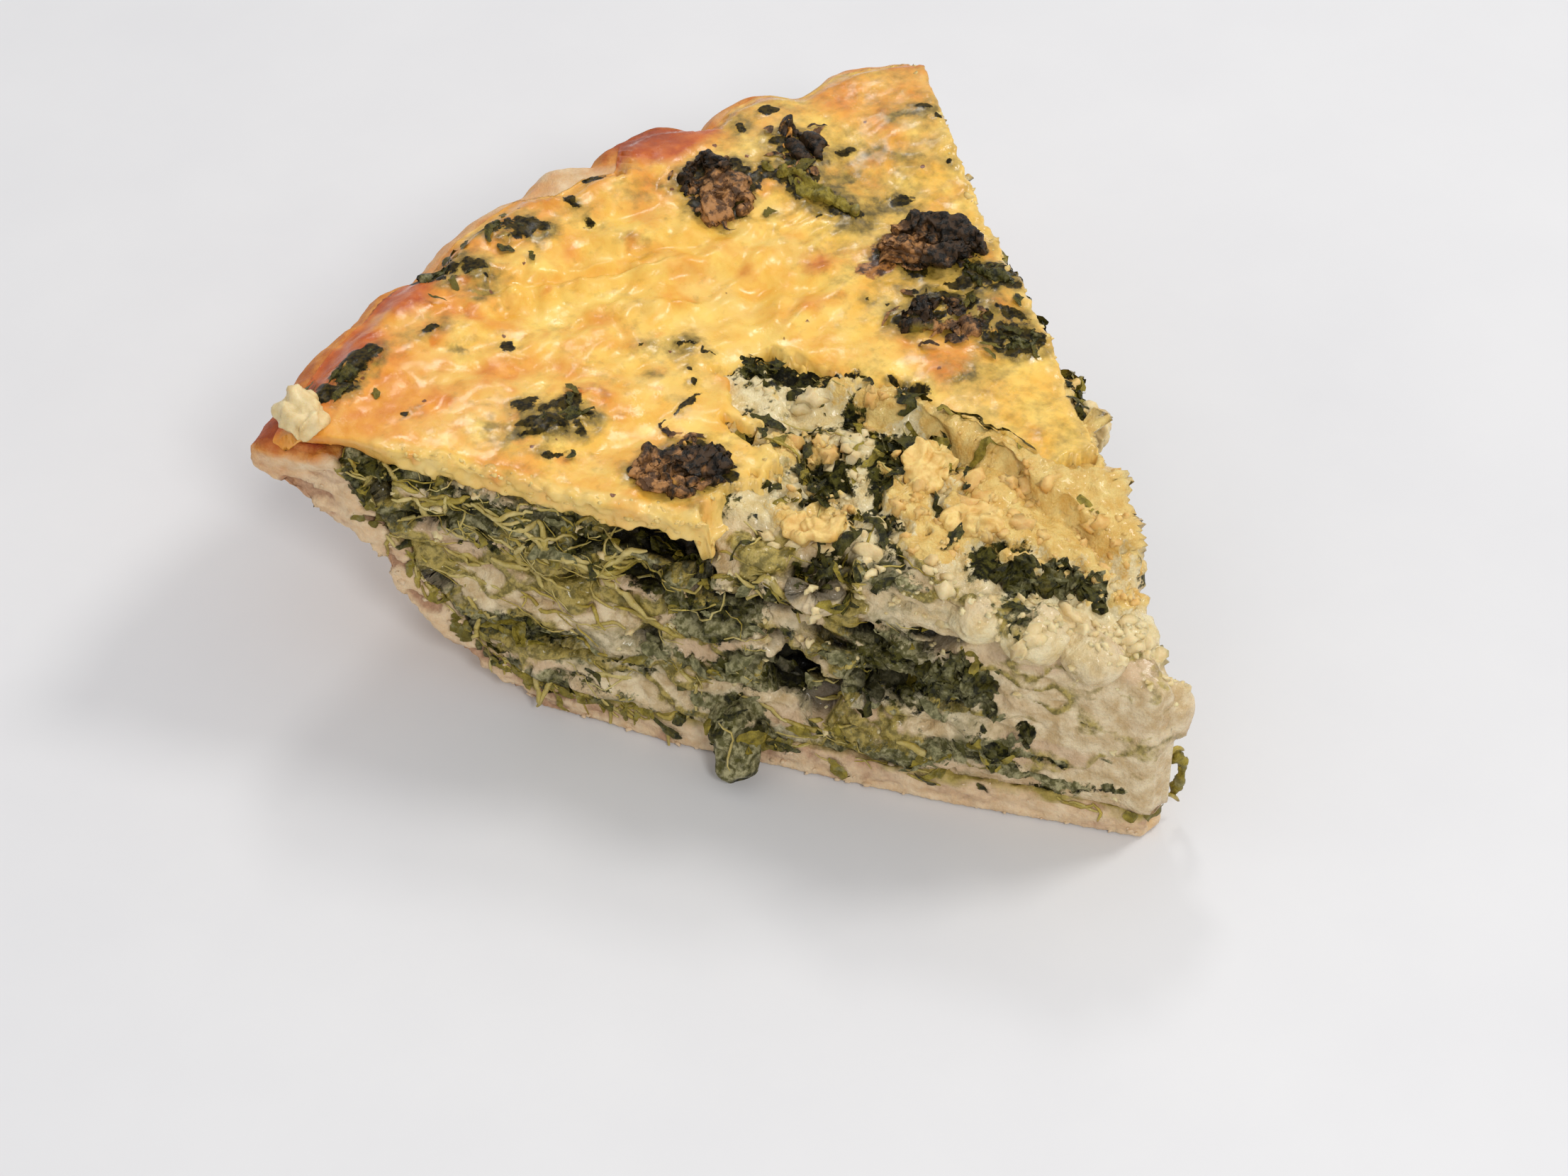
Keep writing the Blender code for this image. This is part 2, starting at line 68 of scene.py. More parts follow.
# %% Sizes and places
MM = 0.001
PIE_MIDDLE = np.array((0.633, -61.065, 0.0))
LEFT_CUT = -29.35
RIGHT_CUT = 28.6
UP = np.array((0.0, 0.0, 1.0))
LOWEST, HIGHEST = (np.array(corner) / MM for corner in first_box)
chance = np.random.default_rng(11)


def direction(angle):
    turn = math.radians(angle)
    return np.array((math.sin(turn), math.cos(turn), 0.0))


LEFT_ALONG, LEFT_OUT = direction(LEFT_CUT), direction(LEFT_CUT - 90)
RIGHT_OUT = direction(RIGHT_CUT + 90)


def spot(radius, angle, height=0.0):
    return PIE_MIDDLE + direction(angle) * radius + UP * height


def polar(points):
    away = points - PIE_MIDDLE
    return np.hypot(away[:, 0], away[:, 1]), np.degrees(np.arctan2(away[:, 0], away[:, 1]))


def ease(low, high, values):
    share = np.clip((values - low) / (high - low), 0, 1)
    return share * share * (3 - 2 * share)


def hump(values, middle, width):
    """1 where the value is at the middle, falling to 0 over this width on both sides."""
    return np.exp(-(((values - middle) / width) ** 2))


def blob(points, centre, size):
    """1 at the centre of a soft round patch, falling to 0 over this size on each axis."""
    return np.exp(-(((points - centre) / size) ** 2).sum(1))


def long_blob(points, radius, angle, heading, length, width):
    """1 at a place on the slice, falling to 0 over this length and width, seen from above."""
    along = direction(heading)[:2]
    offset = points[:, :2] - spot(radius, angle)[:2]
    across = offset @ np.array((-along[1], along[0]))
    return np.exp(-((offset @ along / (0.6 * length)) ** 2 + (across / (0.6 * width)) ** 2))


def patches(points, rows, stretch=1.0):
    """Soft patches added up. Each row is radius, angle, heading, length, width and strength."""
    total = np.zeros(len(points))
    for radius, angle, heading, length, width, strength in rows:
        total += strength * long_blob(points, radius, angle, heading, stretch * length, stretch * width)
    return total


print("the slice spans", round(RIGHT_CUT - LEFT_CUT), "degrees, and its tip is at", spot(0, 0).round(1))


# %% [markdown]
# Two kinds of noise do most of the work. Smooth noise makes swells and wrinkles. Cell noise
# gives the distance to the nearest of many scattered points, which makes curds and crumbs.

# %% Noise
def corner_value(corner, seed):
    """A number from 0 to 1 for each whole-number corner, always the same one."""
    primes = np.array((374761393, 668265263, 3266489917), np.uint64)
    mixed = (corner.astype(np.int64).astype(np.uint64) * primes).sum(1) + np.uint64(seed * 974634777 + 1)
    mixed &= np.uint64(0xFFFFFFFF)
    for factor in (2246822519, 3266489917):
        mixed ^= mixed >> np.uint64(15)
        mixed = (mixed * np.uint64(factor)) & np.uint64(0xFFFFFFFF)
    mixed ^= mixed >> np.uint64(16)
    return mixed.astype(float) / 4294967295


def noise(points, size, seed):
    """Smooth noise from -1 to 1 with features of this size, one number or one for each axis."""
    place = points / np.asarray(size, float)
    corner = np.floor(place)
    part = place - corner
    part = part**3 * (part * (part * 6 - 15) + 10)
    total = np.zeros(len(points))
    for step in np.ndindex(2, 2, 2):
        step = np.array(step)
        weight = np.where(step, part, 1 - part).prod(1)
        total += weight * corner_value(corner + step, seed)
    return total * 2 - 1


def layers(points, size, seed, octaves=3, share=0.5):
    """Noise on noise, each finer and fainter than the one before."""
    size = np.asarray(size, float)
    total = np.zeros(len(points))
    for octave in range(octaves):
        total += share**octave * noise(points, size / 2.07**octave, seed + 17 * octave)
    return total


def ridges(points, size, seed):
    """1 along thin winding lines and near 0 between them."""
    return 1 - np.abs(noise(points, size, seed)) * 2.2


def warp(points, size, amount, seed):
    moved = [noise(points, size, seed + axis) for axis in range(3)]
    return points + amount * np.stack(moved, 1)


def cells(points, size, seed):
    """(distance to the nearest scattered point in cell sizes, a number from 0 to 1 for that point)."""
    place = points / np.asarray(size, float)
    corner = np.floor(place)
    nearest = np.full(len(points), 9.0)
    number = np.zeros(len(points))
    for step in np.ndindex(3, 3, 3):
        at = corner + np.array(step) - 1
        centre = at + np.stack([corner_value(at, seed + axis) for axis in range(3)], 1)
        away = np.linalg.norm(place - centre, axis=1)
        closer = away < nearest
        nearest = np.where(closer, away, nearest)
        number = np.where(closer, corner_value(at, seed + 9), number)
    return nearest, number


trial = noise(np.random.default_rng(1).random((2000, 3)) * 50, 3, 1)
print("noise runs from", round(float(trial.min()), 2), "to", round(float(trial.max()), 2))


# %% [markdown]
# A solid has facets a few millimetres wide. Its copy gets even cells of half a millimetre or
# less and a little smoothing, so that the noise has something to move. Bump alone could do it
# with fewer cells, but then the outline and the shadows would stay smooth.

# %% Copies with fine cells
# The cells of each copy in millimetres.
SKIN_CELL, FILLING_CELL, PASTRY_CELL, LEAF_CELL = 0.38, 0.34, 0.5, 0.22


def mesh_arrays(mesh):
    points = np.empty(len(mesh.vertices) * 3)
    mesh.vertices.foreach_get("co", points)
    normals = np.empty(len(mesh.vertices) * 3, np.float32)
    mesh.vertex_normals.foreach_get("vector", normals)
    return points.reshape(-1, 3) / MM, normals.reshape(-1, 3).astype(float)


def put_in_scene(name, data):
    obj = bpy.data.objects.new(name, data)
    bpy.context.scene.collection.objects.link(obj)
    return obj


def fine_copy(name, nodes, cell, smoothing):
    """A copy of these solids with cells of this size, smoothed this many times."""
    joined = bmesh.new()
    for node in nodes:
        joined.from_mesh(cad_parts[node].data)
    bmesh.ops.remove_doubles(joined, verts=joined.verts, dist=0.00001)
    mesh = bpy.data.meshes.new(name)
    joined.to_mesh(mesh)
    joined.free()
    obj = put_in_scene(name, mesh)
    remesh = obj.modifiers.new("even cells", "REMESH")
    remesh.mode = "VOXEL"
    remesh.voxel_size = cell * MM
    soften = obj.modifiers.new("soften", "SMOOTH")
    soften.iterations = smoothing
    bpy.context.view_layer.update()
    made = bpy.data.meshes.new_from_object(obj.evaluated_get(bpy.context.evaluated_depsgraph_get()))
    obj.modifiers.clear()
    obj.data = made
    return obj


def move_points(obj, points):
    """Puts the points in place, and keeps them inside the box of the solids."""
    inside = np.clip(points, LOWEST + 0.02, HIGHEST - 0.02)
    obj.data.vertices.foreach_set("co", (inside * MM).ravel())
    obj.data.update()


def set_field(obj, name, values):
    field = obj.data.attributes.get(name) or obj.data.attributes.new(name, "FLOAT", "POINT")
    field.data.foreach_set("value", np.asarray(values, np.float32))


def stand_in(obj, slot, material, *nodes):
    """Lets this piece stand for those solids, with its own material."""
    obj.data.materials.clear()
    obj.data.materials.append(material)
    obj.data.shade_smooth()
    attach(obj, "root")
    if nodes:
        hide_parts(*nodes)


print("cells in mm:", SKIN_CELL, FILLING_CELL, PASTRY_CELL, LEAF_CELL)

# %% [markdown]
# Thousands of shreds and crumbs as objects of their own would be slow. A heap joins the meshes
# of one kind into one piece, and each point keeps its colour fields.

# %% Heaps of small meshes and nearest places
class Heap:
    """Collects small meshes into one, with a few numbers for each of their points."""

    def __init__(self):
        self.points, self.faces, self.fields, self.count = [], [], {}, 0

    def add(self, points, faces, **fields):
        self.points.append(points)
        self.faces += [tuple(index + self.count for index in face) for face in faces]
        for name, value in fields.items():
            self.fields.setdefault(name, []).append(np.broadcast_to(value, len(points)))
        self.count += len(points)

    def make(self, name, slot, material):
        mesh = bpy.data.meshes.new(name)
        points = np.concatenate(self.points)
        mesh.from_pydata((points * MM).tolist(), [], self.faces)
        obj = put_in_scene(name, mesh)
        move_points(obj, points)
        for field_name, values in self.fields.items():
            set_field(obj, field_name, np.concatenate(values))
        stand_in(obj, slot, material)
        print(name + ":", len(self.faces), "faces")
        return obj


def height_above(tree, points, start=80.0):
    """The height of the surface straight above or below each point."""
    heights = np.full(len(points), np.nan)
    for index, (x, y, _) in enumerate(points):
        hit = tree.ray_cast(Vector((x * MM, y * MM, start * MM)), Vector((0, 0, -1)))[0]
        if hit:
            heights[index] = hit.z / MM
    return heights


def surface_of(obj):
    points = [vertex.co[:] for vertex in obj.data.vertices]
    return BVHTree.FromPolygons(points, [tuple(face.vertices) for face in obj.data.polygons])


def nearest(surface, point):
    """The nearest place on a surface, the way that it faces there, and how far off it is."""
    near, normal, _, distance = surface.find_nearest(Vector(point * MM))
    return np.array(near) / MM, np.array(normal), distance / MM


# %% [markdown]
# ## Materials
# Every material mixes its colours by the fields that the relief also uses. The groups hold what
# several of them share: a mottled pair of colours, fine relief and uneven gloss.

# %% Shader groups
def paint(red, green, blue):
    """A colour as a screen shows it, from 0 to 255, as Blender's own linear values."""
    shares = (np.array((red, green, blue)) / 255).tolist()
    return tuple(s / 12.92 if s <= 0.04045 else ((s + 0.055) / 1.055) ** 2.4 for s in shares) + (1.0,)


def add_node(tree, kind, inputs=(), **settings):
    node = tree.nodes.new("ShaderNode" + kind)
    for name, value in settings.items():
        setattr(node, name, value)
    for name, value in dict(inputs).items():
        socket = node.inputs[name]
        if isinstance(value, bpy.types.NodeSocket):
            tree.links.new(value, socket)
        else:
            socket.default_value = value
    return node


def arithmetic(tree, operation, *values):
    return add_node(tree, "Math", dict(enumerate(values)), operation=operation).outputs[0]


def between(tree, value, low, high, bottom=0.0, top=1.0):
    """From bottom to top as the value goes from low to high."""
    inputs = {"Value": value, "From Min": low, "From Max": high, "To Min": bottom, "To Max": top}
    return add_node(tree, "MapRange", inputs).outputs[0]


def cloud(tree, size, detail, roughness=0.5):
    """Soft noise from 0 to 1 with features of this size in millimetres."""
    inputs = {
        "Vector": add_node(tree, "TexCoord").outputs["Object"],
        "Scale": arithmetic(tree, "DIVIDE", 1 / MM, size),
        "Detail": detail,
        "Roughness": roughness,
    }
    return add_node(tree, "TexNoise", inputs).outputs["Fac"]


def mix_colour(tree, share, first, second):
    return add_node(tree, "Mix", {0: share, 6: first, 7: second}, data_type="RGBA").outputs[2]


def new_group(name, output, kind, inputs):
    """A shader group with these inputs and one output: its tree, what it is given, and its result."""
    group = bpy.data.node_groups.new(name, "ShaderNodeTree")
    for socket_name, value in inputs.items():
        input_kind = "Color" if isinstance(value, tuple) else "Float"
        socket = group.interface.new_socket(socket_name, in_out="INPUT", socket_type="NodeSocket" + input_kind)
        socket.default_value = value
    group.interface.new_socket(output, in_out="OUTPUT", socket_type="NodeSocket" + kind)
    given = group.nodes.new("NodeGroupInput").outputs
    return group, given, group.nodes.new("NodeGroupOutput").inputs[output]


MOTTLE, given, result = new_group(
    "Mottle",
    "Color",
    "Color",
    {"First": (1.0, 1.0, 1.0, 1.0), "Second": (0.0, 0.0, 0.0, 1.0), "Size mm": 3.0, "Sharpness": 0.5},
)
reach = arithmetic(MOTTLE, "MULTIPLY_ADD", 0.28, given["Sharpness"], -0.3)
edges = [arithmetic(MOTTLE, operation, 0.5, reach) for operation in ("ADD", "SUBTRACT")]
share = between(MOTTLE, cloud(MOTTLE, given["Size mm"], 5.0, 0.6), *edges)
MOTTLE.links.new(mix_colour(MOTTLE, share, given["First"], given["Second"]), result)

RELIEF, given, result = new_group("Fine relief", "Normal", "Vector", {"Size mm": 0.6, "Height mm": 0.05})
depth = arithmetic(RELIEF, "MULTIPLY", given["Height mm"], MM)
grain = {"Height": cloud(RELIEF, given["Size mm"], 6.0, 0.62), "Distance": depth, "Strength": 1.0}
RELIEF.links.new(add_node(RELIEF, "Bump", grain).outputs[0], result)

RAGGED, given, result = new_group(
    "Ragged edge", "Mask", "Float", {"Value": 0.5, "Size mm": 1.0, "Amount": 0.5, "Softness": 0.06}
)
centred = arithmetic(RAGGED, "SUBTRACT", cloud(RAGGED, given["Size mm"], 5.0, 0.62), 0.5)
frayed = arithmetic(RAGGED, "MULTIPLY_ADD", centred, given["Amount"], given["Value"])
edges = [arithmetic(RAGGED, operation, 0.5, given["Softness"]) for operation in ("SUBTRACT", "ADD")]
RAGGED.links.new(between(RAGGED, frayed, *edges), result)

GLOSS, given, result = new_group(
    "Uneven gloss", "Roughness", "Float", {"Size mm": 1.5, "Wettest": 0.2, "Driest": 0.5}
)
patchy = between(GLOSS, cloud(GLOSS, given["Size mm"], 3.0), 0.38, 0.62, given["Wettest"], given["Driest"])
GLOSS.links.new(patchy, result)
print("shader groups:", [group.name for group in bpy.data.node_groups])

# %% [markdown]
# A food's colour is a stack: a mottled base, then one mottled colour over another. Each layer
# shows where a field on the mesh is high. Most edges are frayed by fine noise, as a torn leaf or
# a browned spot has no clean outline. The colours could be painted on an image instead, but a
# stack keeps its detail at any size.

# %% Stacks of mottled colours
def mottle(tree, first, second, size, sharpness=0.5):
    colours = {"First": paint(*first), "Second": paint(*second)}
    return add_node(tree, "Group", {**colours, "Size mm": size, "Sharpness": sharpness}, node_tree=MOTTLE).outputs[0]


def field(tree, name):
    return add_node(tree, "Attribute", attribute_name=name).outputs["Fac"]


def ragged(tree, name, size, amount, softness=0.06):
    """A sharp mask where the field of this name is over one half, with a frayed edge."""
    inputs = {"Value": field(tree, name), "Size mm": size, "Amount": amount, "Softness": softness}
    return add_node(tree, "Group", inputs, node_tree=RAGGED).outputs[0]


def stack(tree, rows):
    """The base is (first, second, size, sharpness). A layer adds a field or share, and an edge or ().

    An edge is (size, amount, softness). A layer's colour may be a stack of its own.
    """
    colour = mottle(tree, *rows[0])
    for where, edge, *tint in rows[1:]:
        mask = ragged(tree, where, *edge) if edge else field(tree, where) if isinstance(where, str) else where
        over = mottle(tree, *tint) if len(tint) > 1 else stack(tree, tint[0])
        colour = mix_colour(tree, mask, colour, over)
    return colour


def food_material(name, colours, gloss, relief, softness=0.0, soft_reach=1.0, coat=0.0, shine=0.5, dull=None):
    """A material from a stack, with gloss as (size, wettest, driest) and relief as (size, height).

    Where the field named by dull is high, it shines far less.
    """
    material = bpy.data.materials.new(name)
    material.use_nodes = True
    tree = material.node_tree
    shader = tree.nodes["Principled BSDF"]
    uneven = add_node(tree, "Group", zip(("Size mm", "Wettest", "Driest"), gloss), node_tree=GLOSS)
    raised = add_node(tree, "Group", zip(("Size mm", "Height mm"), relief), node_tree=RELIEF)
    tree.links.new(stack(tree, colours), shader.inputs["Base Color"])
    tree.links.new(uneven.outputs[0], shader.inputs["Roughness"])
    tree.links.new(raised.outputs[0], shader.inputs["Normal"])
    for socket, value in (
        ("Subsurface Weight", softness),
        ("Subsurface Scale", soft_reach * MM),
        ("Subsurface Radius", (1.0, 0.6, 0.3)),
        ("Specular IOR Level", shine),
        ("Coat Weight", coat),
        ("Coat Roughness", 0.1),
        ("IOR", 1.42),
    ):
        shader.inputs[socket].default_value = value
    if dull:
        for socket, full, dimmest in (("Specular IOR Level", shine, 0.1), ("Coat Weight", coat, 0.02)):
            dimmed = between(tree, field(tree, dull), 0.35, 0.6, full, dimmest)
            tree.links.new(dimmed, shader.inputs[socket])
    return material


print("mid grey, 128, is", round(paint(128, 128, 128)[0], 3), "in linear light")

# %% [markdown]
# Cooked spinach runs from near black to olive, and custard from cream to a warm pale brown. The
# skin is golden with orange and brown spots. Colours are as a screen shows them, from 0 to 255.

# %% Colours of the food
TOAST = ((178, 80, 24), (142, 56, 18), 2.2, 0.6)
PRESSED_LEAF = (
    ((22, 23, 8), (84, 80, 32), 0.9, 0.8),
    ("milky", (1.2, 1.0, 0.15), (176, 168, 126), (104, 100, 62), 0.8, 0.8),
)
FILLING_COLOURS = (
    ((236, 216, 176), (202, 172, 122), 2.2, 0.6),
    ("pink", (), (222, 192, 158), (200, 164, 124), 3.2, 0.4),
    ("yellow", (), (243, 228, 182), (224, 198, 136), 1.8, 0.6),
    ("film", (2.2, 1.0, 0.2), (204, 192, 156), (146, 138, 100), 1.3, 0.8),
    ("olive", (1.6, 0.9, 0.12), (184, 162, 84), (122, 108, 44), 1.1, 0.8),
    ("leaf", (1.0, 1.25), PRESSED_LEAF),
    ("gold", (1.1, 0.9), (240, 210, 130), (224, 180, 92), 1.7, 0.6),
    # Near-black painted shade for hollows, gaps, cracks and fold troughs.
    ("dark", (), (16, 14, 8), (16, 14, 8), 1.0, 0.5),
)
SKIN_COLOURS = (
    ((246, 208, 104), (234, 174, 62), 5.0, 0.45),
    ("pale", (), (238, 208, 130), (226, 186, 94), 3.0, 0.45),
    ("orange", (5.0, 0.9, 0.35), (236, 162, 60), (216, 130, 40), 3.0, 0.5),
    ("smudge", (1.6, 1.1, 0.3), (164, 134, 54), (104, 86, 32), 1.2, 0.6),
    ("brown", (2.0, 0.7, 0.35), (206, 108, 34), (180, 80, 24), 1.6, 0.6),
    ("toast", (), *TOAST),
    ("tan", (1.4, 1.0, 0.1), (168, 112, 54), (74, 46, 24), 1.2, 0.9),
    ("inset", (0.9, 0.9, 0.05), (66, 54, 16), (26, 22, 8), 0.7, 0.8),
    ("speck", (0.6, 0.6, 0.1), (118, 68, 26), (118, 68, 26), 1.0, 0.5),
)
PASTRY_COLOURS = (
    ((234, 208, 168), (212, 178, 132), 2.4, 0.6),
    (0.35, (), (222, 186, 148), (240, 220, 188), 0.9, 0.6),
    ("baked", (4.0, 0.9, 0.5), (230, 186, 118), (210, 156, 86), 4.0, 0.6),
    # Darker cut dough: partly its own tone, partly a painted shade where the flakes sink in.
    ("crack", (0.9, 0.9, 0.2), (200, 160, 126), (168, 128, 98), 1.0, 0.6),
    ("stain", (1.8, 0.8, 0.3), (180, 158, 80), (142, 124, 56), 1.4, 0.6),
    ("brown", (3.0, 0.8, 0.4), (226, 154, 70), (206, 120, 46), 1.8, 0.6),
    ("toast", (3.0, 0.8, 0.4), *TOAST),
)
LEAF_COLOURS = (
    ((32, 32, 9), (76, 72, 24), 0.9, 0.8),
    ("olive", (1.2, 0.9, 0.15), (158, 140, 54), (106, 94, 30), 1.2, 0.7),
    ("milky", (1.0, 1.0, 0.15), (156, 150, 108), (102, 100, 64), 0.8, 0.8),
    ("char", (), (24, 20, 14), (66, 48, 30), 0.9, 0.9),
    ("tan", (1.1, 1.0, 0.12), (178, 128, 78), (98, 68, 42), 1.3, 0.9),
    ("gold", (1.3, 1.1, 0.12), (226, 170, 82), (206, 138, 56), 1.6, 0.7),
)
STEM_COLOURS = (
    ((190, 168, 70), (128, 108, 34), 1.2, 0.5),
    ("tone", (), (218, 200, 136), (182, 162, 88), 1.6, 0.5),
)
CURD_COLOURS = (
    ((232, 214, 168), (214, 190, 136), 1.6, 0.5),
    ("tone", (), (232, 192, 112), (216, 164, 84), 1.6, 0.5),
)
FLAKE_COLOURS = (
    ((240, 208, 130), (222, 174, 92), 1.6, 0.6),
    (0.3, (), (204, 166, 84), (246, 218, 146), 1.0, 0.8),
    ("tone", (), (236, 214, 150), (214, 178, 104), 1.2, 0.7),
)
DOUGH_COLOURS = (((228, 204, 172), (208, 178, 140), 1.5, 0.5),)

FILLING = food_material(
    "spinach custard", FILLING_COLOURS, (0.8, 0.1, 0.46), (0.6, 0.45), 0.08, 0.5, coat=0.24, dull="leaf"
)
SKIN = food_material(
    "golden custard skin", SKIN_COLOURS, (2.2, 0.12, 0.5), (1.1, 0.08), 0.14, 0.5, coat=0.12, dull="inset"
)
PASTRY = food_material("short pastry", PASTRY_COLOURS, (2.0, 0.5, 0.75), (0.6, 0.3), 0.12, 0.8)
LEAF = food_material("baked spinach", LEAF_COLOURS, (0.8, 0.1, 0.4), (0.6, 0.3), shine=0.28)
CHARRED = food_material("charred spinach", LEAF_COLOURS, (0.9, 0.14, 0.4), (0.8, 0.25), shine=0.3)
STEM = food_material("spinach stems", STEM_COLOURS, (0.7, 0.08, 0.34), (0.5, 0.14), 0.15, 0.6)
CURD = food_material("cheese curd", CURD_COLOURS, (1.0, 0.25, 0.5), (0.5, 0.12), 0.3, 1.0)
FLAKE = food_material("flakes of skin", FLAKE_COLOURS, (1.0, 0.3, 0.55), (0.5, 0.12), 0.25, 1.0)
DOUGH = food_material("dough flakes", DOUGH_COLOURS, (1.0, 0.5, 0.7), (0.5, 0.12), 0.1, 0.8)
print("materials:", len(bpy.data.materials))

# %% [markdown]
# The skin reaches from the rim to a torn edge near the tip. The filling has to rise to that edge,
# so the edge is measured first, in steps of half a degree.

# %% Where the skin ends
ANGLE_STEPS = 140
skin = fine_copy("golden_top_looks", ("golden_top",), SKIN_CELL, 7)
radius, angle = polar(mesh_arrays(skin.data)[0])


def bins_of(angles):
    """Which half-degree step each angle is in."""
    return np.clip(((angles - LEFT_CUT + 2) * 2).astype(int), 0, ANGLE_STEPS - 1)


UNSEEN = 999.0
outer_edge, torn_edge = np.zeros(ANGLE_STEPS), np.full(ANGLE_STEPS, UNSEEN)
np.maximum.at(outer_edge, bins_of(angle), radius)
np.minimum.at(torn_edge, bins_of(angle), radius)
torn_edge[torn_edge == UNSEEN] = 60.0
print("the skin ends at radius", round(torn_edge.min()), "to", round(torn_edge.max()))

# %% [markdown]
# ## The filling
# Cooked spinach presses into thin crumpled layers, with custard set between them. At the cuts
# the layers lie nearly level, so all the noise is stretched sideways. Leaf is sunken and sharply
# folded, custard swells in rounded curds, and here and there a deep gap gets a painted shade. One
# field of leafiness could be plain noise, but tables of patches put the large leaves in their places.

# %% The filling's cuts and bare top
filling = fine_copy("spinach_filling_looks", ("spinach_filling",), FILLING_CELL, 14)
place, outward = mesh_arrays(filling.data)
radius, angle = polar(place)
away = place - PIE_MIDDLE
left_depth = away @ LEFT_OUT
right_depth = away @ RIGHT_OUT
on_left = ease(-6.5, -3.5, left_depth)
on_right = ease(-6.5, -3.5, right_depth)
on_top = ease(0.25, 0.6, outward[:, 2]) * (1 - on_left)
left_along = away @ LEFT_ALONG
height = place[:, 2]
print("filling:", len(place), "points, with", int(on_left.sum()), "on the left cut")

# %% [markdown]
# On the left cut, patches are placed by the way along the cut and the height. On the bare top
# they are placed by radius and angle. Each one only makes leaf or custard more likely there.

# %% Patches of leaf and custard
# Where the left cut has more leaf (plus) or more custard (minus): along, height, sizes, amount.
CUT_PATCHES = (
    (36, 21, 10, 4.5, 0.75),
    (70, 31, 16, 3.0, 0.60),
    (92, 33, 16, 4.0, 0.25),
    (60, 22, 7, 6.0, 0.35),
    (52, 16, 5, 4.0, 0.40),
    (14, 22, 12, 10.0, -1.0),
    (19, 15, 1.2, 2.6, 1.5),
    (12.5, 19, 2.6, 0.8, 1.7),
    (9, 13, 2.4, 0.8, 1.5),
    (15, 11, 3.2, 0.9, 1.4),
    (12, 7.5, 4.0, 1.0, 1.2),
    (22, 11, 3.0, 1.0, 1.2),
    (17, 7.5, 5.0, 1.0, 1.2),
    (7.5, 8.5, 2.0, 0.8, 1.5),
    (24, 18, 1.2, 2.4, 0.9),
    (28, 9, 5.0, 1.4, 0.6),
    (26, 23, 3.0, 2.5, 0.6),
    (55.5, 3.0, 4.0, 6.0, 1.4),
    (24, 30, 9, 4.0, -0.70),
    (10, 9, 12, 4.0, -0.35),
    (78, 22, 9, 4.5, -0.55),
    (92, 22, 7, 4.0, -0.35),
    (64, 12, 8, 3.5, -0.45),
    (44, 10, 9, 3.0, -0.30),
    (30, 5, 12, 3.0, 0.20),
    (56, 33, 8, 2.0, -0.50),
    (45, 29, 6, 3.5, -0.40),
)
flat_place = np.stack((left_along, height), 1)
bias = np.zeros(len(place))
for along, up, long, tall, amount in CUT_PATCHES:
    bias += amount * blob(flat_place, (along, up), (long, tall)) * on_left

# Where the bare top has more leaf (plus) or more curd (minus): radius, angle, heading, length, width, amount.
TOP_PATCHES = (
    (63, 0, 145, 3.7, 2.0, 1.1),
    (57, 1, 85, 4.8, 2.6, 1.0),
    (45, -9, -140, 6.8, 3.0, 0.9),
    (46.5, -2, 80, 8.0, 3.0, 1.0),
    (53, -11, -162, 5.9, 2.4, 0.9),
    (38.5, -13, 129, 3.4, 4.0, 0.8),
    (34.5, -4, 120, 5.9, 2.3, 0.8),
    (26.2, -0.6, 108, 9.5, 2.6, 1.1),
    (19.3, 5.5, 164, 6.3, 3.1, 1.1),
    (27, -24, -123, 9.7, 2.1, 0.9),
    (41, 8.8, 171, 2.7, 1.6, 0.7),
    (60.5, -3.5, 153, 3.8, 4.0, -0.9),
    (40.4, -4.2, 148, 2.7, 3.2, -0.8),
    (28.5, 6.7, 149, 2.3, 5.0, -0.8),
    (47.5, -15, -158, 6.8, 3.2, -0.8),
    (50.8, -5, 137, 2.4, 3.1, -0.8),
    (18, -14, 100, 9.0, 8.0, -1.3),
    (26, -27, 146, 6.1, 5.5, -0.9),
    (12, 3, 155, 7.0, 7.5, -1.2),
)
bias += patches(place, TOP_PATCHES) * on_top
print("patches placed:", len(CUT_PATCHES) + len(TOP_PATCHES))

# %% [markdown]
# Where leafiness is over zero there is leaf. Stems run as thin olive lines along ridges of noise,
# and gaps open only well inside the cuts, so that the tip and the base stay whole.

# %% Leafiness, olive stems, curds and gaps
squeezed = warp(place, 8.0, 2.6, 3)
leafiness = 0.62 * noise(squeezed, (10, 10, 3.6), 21) + 0.34 * noise(squeezed, (4.4, 4.4, 1.9), 22)
leafiness += 0.16 * noise(place, 1.3, 23) + bias - 0.12 * on_left
leafiness -= (0.2 - 0.14 * ease(30, 44, radius)) * on_top + 0.5 * ease(20, 8, radius)
creases = ridges(squeezed, (5.5, 5.5, 1.9), 31)
fine_creases = ridges(warp(place, 3.0, 1.2, 33), (2.6, 2.6, 1.3), 32)
upper_left = hump(height, 30, 7) * ease(52, 76, left_along)
olive = ridges(warp(place, 5.0, 3.0, 43), (9, 9, 3.6), 42) - 0.52 + 0.55 * upper_left * on_left
olive += 0.35 * noise(place, (8, 8, 4), 44) * on_left - 0.5 * on_top - 0.5 * ease(34, 14, left_along)
big_curd, _ = cells(warp(place, 4.0, 1.4, 53), (5.4, 5.4, 3.8), 51)
small_curd, _ = cells(warp(place, 2.0, 0.7, 56), (2.3, 2.3, 1.8), 57)
calm = ease(8, 40, radius)
gap = ease(0.30, 0.52, noise(squeezed, (7, 7, 2.3), 61) + 0.25 * bias) * (on_left + on_right) * calm
gap *= ease(8.0, 11.0, height)
print("share of leaf:", round(float((leafiness > 0).mean()), 2))
